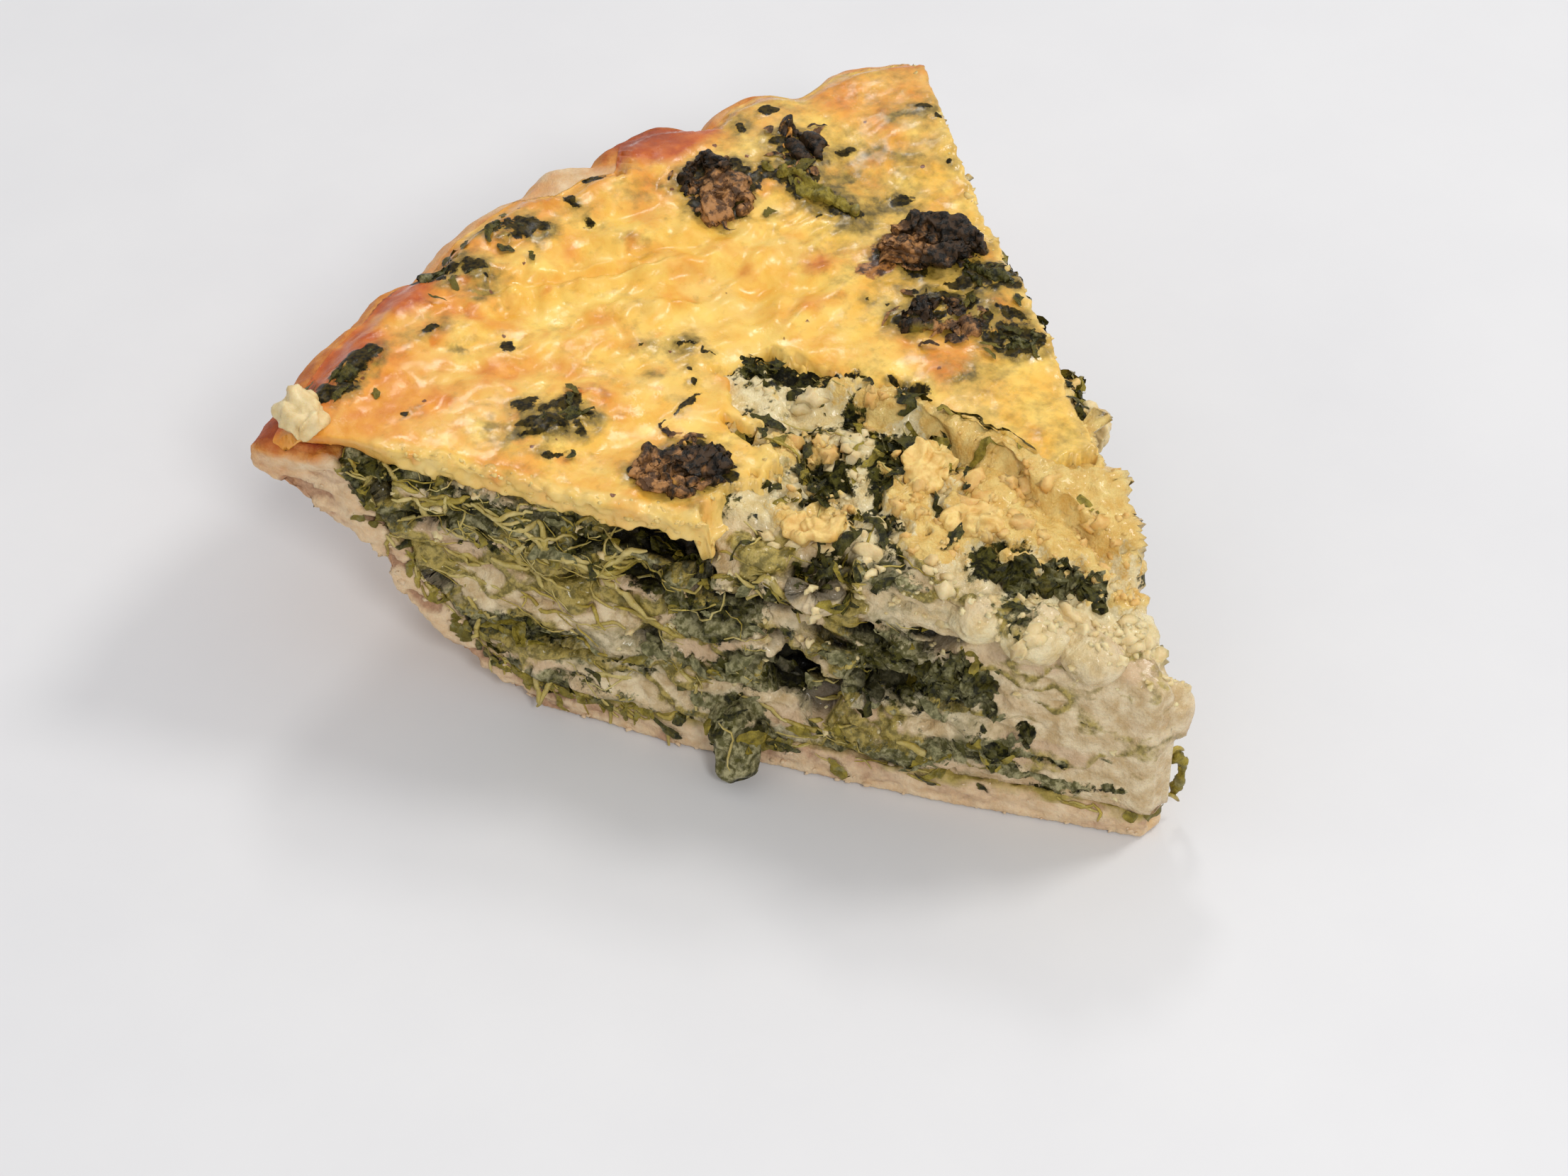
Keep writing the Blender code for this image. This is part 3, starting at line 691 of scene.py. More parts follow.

# %% [markdown]
# Where the skin tore off, islands of it stayed on the curd, with cracks round them. They stand
# about a millimetre higher than the rest, and the cracks are darkened with leaf colour as a painted
# shade.

# %% Islands of skin on the bare top
# Golden islands of skin that stayed on the bare top: radius, angle, heading, length, width, amount.
ISLANDS = (
    (42.2, -9.5, 122, 4.0, 4.4, 0.9),
    (35.1, 9.1, 122, 9.0, 6.4, 1.1),
    (33.0, -7.2, 129, 6.5, 4.9, 1.0),
    (26.8, 15.5, 109, 11.0, 9.0, 1.2),
    (37, 17, 118, 10.0, 12.0, 1.1),
    (44, 20, 118, 14.0, 10.0, 1.0),
    (32, 24, 118, 8.0, 9.0, 1.0),
    (35.5, -20.7, 128, 2.4, 3.4, 1.0),
    (32.7, -18.0, 118, 3.1, 4.4, 1.0),
    (56.6, 2.3, 157, 8.2, 3.6, 1.1),
    (46.1, 6.6, 163, 4.7, 3.6, 1.1),
    (49.0, -23.5, 130, 6.0, 5.0, 0.9),
    (58.0, -14.0, 120, 7.0, 6.0, 0.6),
)
golden = -0.36 + 0.5 * noise(place, (3.6, 3.6, 6), 71) + 0.4 * noise(place, 1.3, 72)
golden += patches(warp(place, 2.4, 0.7, 73), ISLANDS, 1.25)
gold = ease(0.0, 0.1, golden) * on_top
cracks = hump(golden, -0.13, 0.1) * on_top * ease(-0.1, 0.4, noise(place, (5, 5, 9), 77))
cracks *= ease(24, 32, radius)
# Leaf colour in the cracks is a painted shade.
leafiness += 0.55 * cracks
leaf = ease(-0.06, 0.12, leafiness) * (1 - gold)
print("golden islands:", len(ISLANDS))

# %% [markdown]
# All of the relief adds up to one distance outwards for each point. It fades out towards the
# crust, so that the filling meets the pastry without a gap.

# %% Relief of the filling
custard = 1 - leaf
rounded = 0.75 * (0.7 - big_curd) + 0.5 * (0.6 - small_curd)
pitted = 0.5 * noise(squeezed, (5, 5, 3), 82) + 0.3 * noise(warp(place, 2, 1, 83), (2.4, 2.4, 1.6), 84)
pitted -= 0.7 * ease(0.35, 0.6, noise(warp(place, 2, 1, 85), (2.0, 2.0, 1.3), 86))
cut_share = on_left * calm
swell = custard * (rounded * (1 - cut_share) * (0.35 + 0.65 * calm) + (1.3 * pitted + 0.5 * rounded) * cut_share)
crumple = leaf * (-0.5 + 0.95 * np.clip(creases, -0.4, 1) + 0.45 * np.clip(fine_creases, -0.5, 1))
fibres = 0.45 * ease(-0.1, 0.3, olive) * on_left
past_edge = radius - torn_edge[bins_of(angle)]
banked = ease(-7, -1, past_edge) * ease(10, 6, past_edge)
raised_gold = 0.7 * gold * ease(4, 10, angle) * ease(26, 34, radius)
plateau = on_top * ((1.8 + 1.1 * ease(-10, -3, angle)) * banked + raised_gold)
tip_swells = 0.8 * noise(warp(place, 4, 1.5, 76), (4.2, 4.2, 5), 74) + 0.35 * noise(place, 1.9, 75)
crumbs, _ = cells(warp(place, 1.5, 0.5, 88), 1.25, 89)
crumbly_gold = on_top * calm * (0.25 + 0.75 * gold) * (0.55 * (0.6 - crumbs) + 0.3 * noise(place, 2.6, 79))
outwards = on_top * (1 - calm) * tip_swells + crumbly_gold - 0.8 * cracks + swell + crumple + fibres
outwards += (1.0 - 0.5 * leaf) * gold - 2.8 * gap + plateau + 0.16 * noise(place, 0.9, 81)
toward_crust = ease(0.75, 0.35, outward @ LEFT_OUT) * on_left + ease(0.75, 0.35, outward @ RIGHT_OUT) * on_right
toward_crust *= ease(0.35, 0.1, outward[:, 2])
outwards = outwards * (1 - toward_crust) + 0.6 * toward_crust
# Deep hollows in the left cut, which also get a painted shade: along, height, sizes.
HOLLOWS = (
    (67, 32.0, 8.5, 2.4),
    (48.9, 17.0, 3.0, 1.8),
    (55, 26.4, 7, 1.2),
    (31, 27.5, 4, 0.9),
    (41, 24, 3, 0.8),
)
hollows = np.zeros(len(place))
for along, up, long, tall in HOLLOWS:
    hollows += blob(flat_place, (along, up), (long, tall)) * on_left
outwards -= 2.2 * ease(0.35, 0.8, hollows)
bare = np.clip(on_left + on_right + on_top, 0, 1)
move_points(filling, place + outward * (outwards * bare)[:, None])
print("moved outwards by up to", round(float(outwards.max()), 1), "mm")

# %% [markdown]
# The colours follow the relief: hollows, gaps, cracks and the troughs of sharp folds get a painted
# shade, and milky custard films the leaf on the cut. Each field is a number for each point, which
# the material reads.

# %% Colour fields of the filling
# Painted shade: hollows, gaps, the troughs of leaf folds and the cracks are darkened.
dark = 0.75 * ease(0.35, 0.9, gap) + 0.95 * ease(0.35, 0.65, hollows)
dark += 0.45 * ease(0.35, -0.3, creases) * leaf + 0.5 * cracks
pink = 0.7 * ease(-0.1, 0.4, noise(place, (9, 9, 4), 91)) * on_left
yellow = np.clip(on_top + blob(flat_place, (22, 32), (12, 3.5)) * on_left, 0, 1)
for name, values in (
    ("leaf", 0.5 + 0.9 * (leafiness - 0.03) - 0.8 * gold),
    ("milky", 0.52 * on_left + 0.36 * noise(warp(place, 3, 1.2, 94), (3.4, 3.4, 1.8), 95)),
    ("film", 0.47 * on_left * calm + 0.4 * noise(warp(place, 5, 2, 97), (6, 6, 3), 98) + 0.5 * leafiness * on_left),
    ("olive", 0.5 + 0.8 * olive),
    ("gold", on_top * (0.5 + 0.7 * (golden - 0.05))),
    ("dark", dark),
    ("pink", pink),
    ("yellow", yellow),
):
    set_field(filling, name, np.clip(values, 0, 1))
stand_in(filling, "filling", FILLING, "spinach_filling")
print("filling:", len(filling.data.polygons), "faces")

# %% [markdown]
# ## The pastry
# Short pastry crumbles where a knife went through it, and is smooth where it met the dish. The
# crimped rim browned most on the outer side of each lobe. So the cuts get crumbs and flakes, and
# the rest gets long faint swells.

# %% Crumbs and swells of the pastry
filling_surface = surface_of(filling)
pastry = fine_copy("pastry_crust_looks", ("pastry_crust",), PASTRY_CELL, 8)
place, outward = mesh_arrays(pastry.data)
radius, angle = polar(place)
away = place - PIE_MIDDLE
height = place[:, 2]
at_cut = np.maximum(ease(-1.6, -0.6, away @ LEFT_OUT), ease(-1.6, -0.6, away @ RIGHT_OUT))
at_rim = ease(100, 112, radius) * ease(24, 31, height)
crumbs, _ = cells(place, (2.2, 2.2, 1.6), 111)
fine_crumbs, _ = cells(place, 1.1, 112)
tears = layers(place, (4, 4, 2.2), 113)
moved = at_cut * (0.3 * (0.6 - crumbs) + 0.22 * (0.6 - fine_crumbs) + 0.3 * tears)
moved -= at_cut * 1.0 * ease(2.2, 0.6, height) * ease(-0.2, 0.4, noise(place, (1.7, 1.7, 3), 119))
edge_of_cut = at_cut * (1 - np.maximum(np.abs(outward @ LEFT_OUT), np.abs(outward @ RIGHT_OUT)))
moved += edge_of_cut * (1.1 * (0.55 - crumbs) + 0.5 * noise(place, 1.1, 122))
flaky = ease(0.3, 0.7, noise(warp(place, 3, 1.5, 120), (5, 5, 1.3), 121)) * ease(60, 76, away @ LEFT_ALONG)
moved -= at_cut * (0.9 * flaky + 0.4 * ease(0.5, 0.8, noise(warp(place, 3, 1.5, 120), (6, 6, 1.3), 121)))
moved += (1 - at_cut) * (0.16 * layers(place, 6, 114) + 0.05 * noise(place, 1.0, 115))
moved += at_rim * (0.35 * noise(place, 5, 116) + 0.2 * noise(place, 2.2, 117))
stands = ease(0.2, 1.5, height)
move_points(pastry, place + outward * (moved * stands)[:, None])
print("points at the cuts:", int((at_cut > 0.5).sum()))


# %% [markdown]
# Heat browns what stands out most, so the outer edge of each lobe is the darkest. Egg and leaf
# stained the cut dough where it lies next to the filling.

# %% Browning of the pastry
def browning(points, angles, radii):
    """How brown the rim is here: most on the outer edge, and more on some lobes than on others."""
    lobes = 0.42 * hump(angles, -23, 7) + 0.85 * hump(angles, 8.5, 4.2) + 0.25 * hump(angles, -14, 2.0)
    lobes += 0.2 * hump(angles, 17, 2.4) + 0.12 * hump(angles, 26, 3.0)
    edge = ease(104.5, 117, radii + 1.5 * noise(points, (5, 5, 9), 133))
    return edge * (lobes + 0.16 + 0.18 * layers(points, 5.0, 131))


brown = browning(place, angle, radius) * at_rim * (1 - 0.7 * at_cut)
outside = ease(0.0, 0.4, -outward[:, 2] + 0.6) * (1 - at_cut)
# Partly a darker tone of the cut dough, partly a painted shade: more where the flakes sink in, less where the dough
# stands out.
set_field(pastry, "crack", at_cut * (0.62 * flaky + 0.3 - 0.35 * tears))
set_field(pastry, "baked", outside * 0.7 + 0.25 * at_rim * (1 - at_cut))
lip = ease(-24.5, -28, angle) * (1 - 0.85 * at_cut) + 0.5 * at_cut * ease(34.5, 36.5, height) * ease(-20, -26, angle)
brown += 1.1 * lip * ease(107, 115, radius) * ease(27, 33, height)
bare_flute = hump(angle, 1.7, 3.2)
set_field(pastry, "brown", 0.9 * ease(0.05, 0.55, brown) + 0.34 * at_rim * (1 - at_cut) * (1 - 1.6 * bare_flute))
set_field(pastry, "toast", 0.9 * ease(0.35, 1.0, brown))
to_filling = np.full(len(place), 9.0)
for index in np.nonzero(at_cut > 0.05)[0]:
    to_filling[index] = nearest(filling_surface, place[index])[2]
damp = 0.75 - 0.42 * to_filling + 0.45 * noise(place, (3.4, 3.4, 2.2), 118)
set_field(pastry, "stain", np.clip(damp * at_cut, 0, 1))

stand_in(pastry, "pastry", PASTRY, "pastry_crust")
pastry_surface = surface_of(pastry)
print("pastry:", len(pastry.data.polygons), "faces")

# %% [markdown]
# ## The golden skin
# The top of the custard set first, rose and sank again, which wrinkled it. Thin spots blistered
# and browned. Towards the rim the skin runs out over the dough with no step, and towards the
# tip it tore, with a crumbly edge. Blisters and leaves that can be told apart stand in tables,
# and noise makes the rest.

# %% Blisters and tanned patches
place, outward = mesh_arrays(skin.data)
radius, angle = polar(place)
upper = ease(0.2, 0.7, outward[:, 2])
angle_bin = bins_of(angle)
to_rim = outer_edge[angle_bin] - radius
to_tear = radius - torn_edge[angle_bin]

# Blisters and tanned patches: radius, angle, heading, length, width, height, how orange, how brown.
BLISTERS = (
    (81.1, 10.6, 115, 3.6, 3.4, 0.7, 0.6, 0.75),
    (74.3, 6.6, 113, 4.2, 2.6, 0.3, 0.9, 0.2),
    (73.6, 9.3, 96, 2.0, 2.3, 0.2, 0.9, 0.2),
    (85.1, -17.1, 90, 4.4, 3.6, 0.4, 0.8, 0.45),
    (84.7, -8.9, 107, 4.2, 3.4, 0.4, 0.9, 0.2),
    (84.8, 4.9, 80, 2.2, 2.0, 0.4, 0.9, 0.3),
    (97.5, 11.5, 111, 8.2, 5.6, 0.5, 0.7, 0.25),
    (94.8, 22.3, 157, 6.0, 7.0, 0.2, 0.8, 0.1),
    (101.2, -24.6, 93, 9.0, 5.0, 0.2, 0.9, 0.1),
    (95.6, -18.7, 91, 6.0, 4.4, 0.2, 0.8, 0.1),
    (92.6, -19.9, 167, 4.4, 2.0, 0.3, 0.9, 0.2),
    (78.3, -18.1, 162, 3.8, 3.2, 0.4, 0.9, 0.15),
    (81.3, -16.1, 130, 3.0, 2.8, 0.3, 0.8, 0.15),
    (67.6, -7.9, -143, 3.8, 1.8, 0.3, 0.9, 0.5),
    (68.0, -25.0, 120, 5.0, 2.6, 0.3, 0.5, 0.2),
    (62.5, -27.0, 120, 4.0, 2.0, 0.2, 0.5, 0.1),
    (62.8, 24.5, 143, 4.6, 2.4, 0.5, 0.8, 0.3),
    (79.0, 14.5, 100, 7.0, 4.0, 0.5, 0.6, 0.3),
    (108.0, -13.0, 100, 9.0, 5.0, 0.2, 0.9, 0.15),
    (55.0, 14.0, 120, 8.0, 6.0, 0.2, 0.7, 0.0),
)
ragged_place = warp(place, 2.2, 0.7, 141)
swelling, orange, brown = np.zeros(len(place)), np.zeros(len(place)), np.zeros(len(place))
for patch_radius, patch_angle, heading, length, width, rise, tint, tan in BLISTERS:
    patch = long_blob(ragged_place, patch_radius, patch_angle, heading, length, width)
    swelling += rise * patch
    orange += tint * patch
    brown += tan * patch
print("blisters:", len(BLISTERS))

# %% [markdown]
# Small leaves baked into the skin are near black. Those that sank deeper only tint it, and a few
# dried to a pale brown. They have ragged outlines, so the places are warped before the patches.

# %% Leaf in and under the skin
# Bits of leaf set in the skin: radius, angle, heading, length, width, how dark.
LEAF_BITS = (
    (107.3, -17.1, 104, 3.5, 1.0, 0.9),
    (110.8, -21.6, 92, 3.9, 1.7, 0.9),
    (97.5, -15.3, 129, 2.0, 2.4, 1.0),
    (107.5, -10.5, 105, 1.0, 1.0, 0.8),
    (89.6, -20.7, 96, 4.3, 3.0, 0.9),
    (85.3, -18.7, 82, 5.4, 3.0, 0.7),
    (87.3, -22.6, 125, 3.5, 1.7, 0.9),
    (86.2, -23.7, 122, 3.7, 1.3, 0.7),
    (82.5, -25.3, 117, 4.2, 0.9, 0.8),
    (101.8, -25.6, 108, 1.3, 0.9, 0.8),
    (80.3, -5.7, 144, 3.2, 1.0, 0.5),
    (77.1, -5.3, -174, 3.8, 0.9, 0.5),
    (73.0, -12.5, 77, 5.5, 1.2, 0.75),
    (76.5, -8.6, -178, 1.2, 1.2, 0.9),
    (74.8, -9.4, 90, 0.9, 0.9, 0.9),
    (83.8, -8.9, 130, 0.9, 0.9, 0.8),
    (108.9, -0.9, -171, 2.9, 0.9, 1.0),
    (104.9, -1.2, 167, 2.3, 1.3, 0.9),
    (112.5, 2.4, 120, 3.2, 1.8, 1.0),
    (110.9, 16.6, 91, 3.3, 2.0, 1.0),
    (109.4, 13.9, -155, 3.1, 1.4, 1.0),
    (98.7, 19.9, 115, 3.6, 1.6, 0.9),
    (103.6, 27.2, 130, 2.2, 1.2, 0.9),
    (101.6, 28.0, 109, 1.3, 1.2, 0.9),
    (92.7, 27.5, 167, 1.4, 1.0, 0.8),
    (87.5, 21.9, 88, 3.2, 2.3, 0.9),
    (88.4, 16.2, 152, 3.2, 1.8, 0.9),
    (88.8, 14.2, 107, 1.1, 1.1, 0.7),
    (68.7, 21.8, 115, 4.8, 1.7, 1.0),
    (69.8, 16.6, 134, 0.9, 1.0, 0.9),
    (69.4, 13.3, 130, 0.8, 0.8, 0.9),
    (68.7, 17.8, 125, 0.9, 0.9, 0.9),
    (71.3, 12.0, 130, 0.7, 0.7, 0.8),
    (63.3, -0.4, 133, 0.7, 0.7, 0.9),
    (61.1, 3.3, 104, 1.5, 1.3, 0.7),
    (57.1, 6.9, -180, 3.4, 0.9, 1.0),
    (54.0, 7.9, 145, 3.2, 2.6, 1.0),
    (58.2, 2.9, 122, 1.8, 0.9, 1.0),
    (75.0, 22.5, 100, 5.0, 2.0, 0.8),
    (60.5, 25.5, 150, 5.0, 1.6, 0.9),
)
# Leaves that only show through the skin: radius, angle, heading, length, width, strength.
SUNKEN_LEAVES = (
    (102.4, -17.5, 93, 4.0, 3.0, 0.6),
    (106.2, -12.4, 102, 4.4, 2.4, 0.6),
    (90.8, -24.8, 114, 4.2, 3.2, 0.6),
    (79.3, -11.3, 114, 2.6, 1.8, 0.5),
    (104.7, 3.1, 140, 3.8, 3.2, 0.7),
    (104.6, 5.4, 166, 2.2, 2.0, 0.5),
    (106.3, -4.7, 72, 3.4, 2.2, 0.5),
    (98.6, -0.1, 132, 3.4, 2.4, 0.6),
    (93.5, 18.5, 90, 5.4, 3.6, 0.6),
    (103.1, 25.1, 99, 3.4, 3.2, 0.7),
    (85.3, 15.0, 120, 3.0, 2.2, 0.5),
    (84.6, 17.1, 126, 4.0, 2.4, 0.4),
    (52.4, 15.5, 93, 3.8, 3.0, 0.6),
    (88.0, 20.0, 100, 9.0, 5.0, 0.45),
    (79.5, -7.0, 120, 4.0, 3.0, 0.3),
    (96.0, 24.0, 150, 7.0, 5.0, 0.35),
    (66.0, 20.0, 120, 8.0, 5.0, 0.4),
    (84.0, -21.0, 100, 9.0, 5.0, 0.3),
    (112.5, -23.0, 60, 9.0, 4.0, 0.4),
)
# Brown leaf that dried on the skin: radius, angle, heading, length, width, strength.
BROWN_LEAVES = (
    (76.0, 14.5, 97, 5.6, 2.6, 0.9),
    (79.0, 18.4, 96, 6.4, 3.4, 1.0),
    (97.0, 7.6, 150, 8.0, 6.0, 0.9),
    (76.0, 21.0, 120, 9.0, 6.0, 0.8),
    (67.5, -24.0, 120, 6.0, 5.0, 0.6),
)
jagged = warp(warp(place, 1.6, 0.55, 144), 0.8, 0.25, 147)
smudge, tan_leaf, inset = patches(ragged_place, SUNKEN_LEAVES), patches(jagged, BROWN_LEAVES), np.zeros(len(place))
for *where, length, width, strength in LEAF_BITS:
    inset = np.maximum(inset, (0.55 + 0.45 * strength) * long_blob(jagged, *where, length, width))
    smudge += 0.4 * long_blob(ragged_place, *where, length + 2, width + 1.6)
streaks = ease(-0.1, 0.5, layers(warp(place, 4, 2, 151), (3.2, 2.0, 3), 152))
smudge = smudge * (0.45 + 0.75 * streaks) + 0.14 + 0.12 * layers(warp(place, 6, 3, 155), (9, 6, 6), 156)
smudge += 0.16 * ease(6, 16, angle)
print("bits of leaf:", len(LEAF_BITS), "and leaves under the skin:", len(SUNKEN_LEAVES) + len(BROWN_LEAVES))

# %% [markdown]
# Juice from each leaf tinted the skin round it, and the skin under it is dark. The distance from
# each point to the leaves gives both, so that no leaf looks as if it were only set down there.

# %% Skin round the leaves that lie on it
CHARRED_NODES = (
    "charred_clump_back",
    "charred_leaf_upright",
    "charred_clump_right",
    "charred_leaf_right",
    "charred_curl",
)
FLAT_LEAVES = (
    "dark_clump_edge",
    "dark_leaf_edge",
    "dark_leaf_left",
    "leaf_streak_rim",
    "leaf_rim_left",
    "leaf_rim_middle",
)
LYING_ON_SKIN = (*CHARRED_NODES, "olive_stem", *FLAT_LEAVES)
leaf_points = np.concatenate([mesh_arrays(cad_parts[node].data)[0] for node in LYING_ON_SKIN])
leaf_finder = KDTree(len(leaf_points))
for index, point in enumerate(leaf_points):
    leaf_finder.insert(Vector(point), index)
leaf_finder.balance()
leaf_away = np.array([leaf_finder.find(Vector(point))[2] for point in place])
halo = ease(3.2, 0.6, leaf_away + 0.9 * noise(place, 1.8, 148) + 0.4 * noise(place, 0.8, 149))
smudge += 0.55 * halo
inset = np.maximum(inset, 1.15 - 0.55 * leaf_away + 0.3 * noise(place, 1.6, 154))
on_leaf = ease(0.42, 0.55, inset)
print("points under leaves:", int((leaf_away < 1).sum()))

# %% [markdown]
# The skin wrinkled more in the middle, where it had risen most. One long crease runs across it
# near the rim.

# %% Wrinkles and the long crease
busy = 0.4 + 1.5 * long_blob(place, 88, 0, 115, 44, 24) + 0.5 * ease(0.3, 0.7, tan_leaf)
wrinkles = busy * 0.6 * noise(warp(place, 9, 3, 161), (7, 4.2, 7), 162)
wrinkles += busy * 0.32 * noise(warp(place, 4, 1.5, 163), (3.2, 2.1, 3), 164)
wrinkles += 0.07 * noise(place, 1.9, 165) + 0.25 * noise(place, 14, 168)
crease_line = (place[:, :2] - spot(98.5, -6)[:2]) @ direction(25)[:2] + 1.2 * noise(place, 7, 167)
crease_span = long_blob(place, 98.5, -6, 118, 20, 60)
crease = crease_span * (0.6 * hump(crease_line, -1.6, 1.4) - 0.9 * hump(crease_line, 0, 0.7))
tears = ease(0.5, 0.8, inset) * long_blob(place, 56, 5, 100, 26, 16)
leaf_lumps = 0.12 * on_leaf + 0.3 * halo + 0.4 * ease(0.3, 0.7, tan_leaf) * noise(place, 1.8, 169)
rise = upper * (wrinkles + swelling + crease + leaf_lumps - 1.1 * tears)
print("wrinkles rise by up to", round(float(wrinkles.max()), 1), "mm")

# %% [markdown]
# Near the tear the skin is in crumbs and falls away to the custard. At the rim it thins out and
# takes the height of the dough below, which a ray finds for each point.

# %% The torn edge and the edge at the rim
crumbly, _ = cells(place, (1.8, 1.8, 1.6), 171)
torn = ease(4.5, 0.5, to_tear) + ease(-2.2, -0.8, (place - PIE_MIDDLE) @ LEFT_OUT) * ease(108, 96, radius)
torn += 0.6 * ease(-2.2, -0.8, (place - PIE_MIDDLE) @ RIGHT_OUT)
torn = np.clip(torn, 0, 1)
rise += torn * (0.7 * (0.55 - crumbly) + 0.4 * noise(place, 1.2, 172))
new_place = place + outward * rise[:, None]
broken = 0.62 - to_tear / 8 + 0.75 * noise(warp(place, 3, 1.2, 173), (4.4, 4.4, 9), 174)
broken += 0.35 * noise(place, (1.7, 1.7, 4), 175) - 0.35 * ease(-6, -12, angle)
new_place[:, 2] -= 3.4 * ease(-0.06, 0.2, broken + 0.12 * noise(place, (0.9, 0.9, 9), 176)) * ease(14, 9, to_tear)
new_place[:, 2] -= upper * 0.9 * ease(11, 1, to_tear) * ease(-14, -4, angle)

under = height_above(pastry_surface, place)
# Past the rim's broken edge there is no dough below, so the nearest dough gives the height.
for index in np.nonzero(np.isnan(under) & (radius > 100) & (to_rim < 4.5))[0]:
    under[index] = nearest(pastry_surface, place[index])[0][2]
feather = ease(4.2, 0.3, to_rim) * ease(100, 106, radius) * ~np.isnan(under)
target = np.where(np.isnan(under), place[:, 2], under) + np.where(outward[:, 2] > 0, 0.12, -0.3)
new_place[:, 2] = new_place[:, 2] * (1 - feather) + target * feather
move_points(skin, new_place)
print("points over the rim's dough:", int((feather > 0).sum()))

# %% [markdown]
# The skin is more orange towards the rim, pale where it tore, and brown on its blisters. At the
# rim it browns just like the dough beside it, because both use the same browning.

# %% Colour fields of the skin
toast = browning(place, angle, radius)
brown += 1.2 * ease(0.1, 0.5, toast) + 0.15 * torn * ease(0.1, 0.6, noise(place, 4, 183))
near_rim = 0.45 * ease(96, 112, radius) * (1 - 0.6 * ease(4, 14, angle) * ease(12, 2, to_rim + 2))
near_left = 0.2 * ease(-14, -24, angle) * ease(60, 80, radius)
orange = 0.5 * orange + near_rim - 0.12 * long_blob(place, 84, 3, 115, 50, 34) + near_left
orange += 0.42 * layers(place, (7, 7, 9), 182) + 0.2
blister_away, blister_number = cells(warp(place, 3, 1.2, 193), (4.6, 3.6, 9), 194)
small_blisters = ease(0.42, 0.1, blister_away) * (blister_number > 0.62) * ease(70, 80, radius) * ease(8, -6, angle)
orange += 0.5 * small_blisters
brown += 0.3 * small_blisters * (blister_number > 0.85)
speck_away, speck_number = cells(place, (3.0, 3.0, 9), 191)
specks = ease(0.2, 0.05, speck_away) * (speck_number > 0.84)
for name, values in (
    ("orange", orange - 0.3 * torn),
    ("brown", brown * 0.9),
    ("toast", ease(0.4, 0.95, toast)),
    ("smudge", smudge * upper),
    ("inset", inset * upper),
    ("tan", tan_leaf * upper),
    ("speck", specks * upper),
    ("pale", torn * 0.8 + ease(0.15, 0.6, layers(place, 8, 184)) * 0.4 + (1 - upper)),
):
    set_field(skin, name, np.clip(values, 0, 1))
stand_in(skin, "skin", SKIN, "golden_top")
print("skin:", len(skin.data.polygons), "faces")

# %% [markdown]
# ## Leaves, flakes and curds that lie on top
# Each small solid keeps its place. Its copy settles into the skin by a different amount from
# point to point, so that the edge comes out ragged, and folds crumple what stands above.

# %% Small pieces from their solids
ON_CUT = ("wet_leaf_fold", "dark_leaf_cut")
GREEN_NODES = ("olive_stem", *FLAT_LEAVES, *ON_CUT, "stem_strand_tip")
FLAKE_NODES = ("skin_flake_front", "skin_flake_middle", "skin_flake_small")
CURD_NODES = ("curd_lump_left", "curd_lump_right")
ON_FILLING = (*ON_CUT, "stem_strand_tip", "curd_lump_right")
skin_surface = surface_of(skin)


def crumple_pieces(name, nodes, fold, sinking, slot, material, colour_fields):
    """Pleated copies of solids in one piece. Edges sink into the skin by up to this much."""
    heap = Heap()
    for number, node in enumerate(nodes):
        part = fine_copy(node + "_part", (node,), LEAF_CELL, 2)
        place, outward = mesh_arrays(part.data)
        faces = [tuple(face.vertices) for face in part.data.polygons]
        bpy.data.objects.remove(part)
        middle = place.mean(0)
        _, ways = np.linalg.eigh(np.cov((place - middle).T))
        local = (place - middle) @ ways[:, ::-1]
        seed = 230 + 11 * number
        narrow = 1.7 if node in CHARRED_NODES else 1.35
        pleats = np.clip(ridges(warp(local, 2.4, 0.9, seed), (5.0, narrow, narrow), seed + 3), -0.7, 1)
        nicks = np.clip(ridges(warp(local, 1.5, 0.5, seed + 4), (narrow, 2.6, 1.6), seed + 5), -0.7, 1)
        flatness = 0.45 if node in FLAT_LEAVES else 1.7 if node == "wet_leaf_fold" else 1.0
        folds = fold * flatness * (0.9 * pleats + 0.5 * nicks)
        moved = warp(place, 2.6, 0.9 * fold, seed + 6) + outward * folds[:, None]
        surface = filling_surface if node in ON_FILLING else skin_surface
        above, down = np.empty(len(place)), np.empty(place.shape)
        for index, point in enumerate(place):
            _, down[index], above[index] = nearest(surface, point)
        frayed = 0.9 * noise(place, 2.2, 208) + 0.7 * flatness * noise(place, 0.9, 209)
        low = ease(2.4, 0.4, above) * (0.6 + frayed)
        squash = 0.4 * (flatness < 1) + 0.22 * (node in ("charred_clump_back", "charred_curl", "wet_leaf_fold"))
        pressed = squash * np.clip(above, 0, 4)
        sunk = pressed + sinking * (low + 0.12 * np.clip(above, 0, 3) * (above < 6)) + 0.3 * ease(9.0, 6.0, above)
        moved -= down * sunk[:, None]
        heap.add(moved, faces, **colour_fields(node, local, pleats, above, place - middle))
    obj = heap.make(name, slot, material)
    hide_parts(*nodes)
    return obj


print("leaf pieces to crumple:", len(CHARRED_NODES) + len(GREEN_NODES))

# %% [markdown]
# Charred leaves are black with pale brown on the side that dried. Green ones run from near black
# to olive, with a golden edge where the skin creeps over them.

# %% Which fields each kind of piece has
# Which way the browned side of a charred leaf faces, and how much of it is brown rather than black.
BROWN_SIDE = {
    "charred_clump_back": (205, 0.1),
    "charred_leaf_upright": (270, -0.35),
    "charred_clump_right": (300, -0.04),
    "charred_leaf_right": (200, -0.16),
    "charred_curl": (270, 0.02),
}


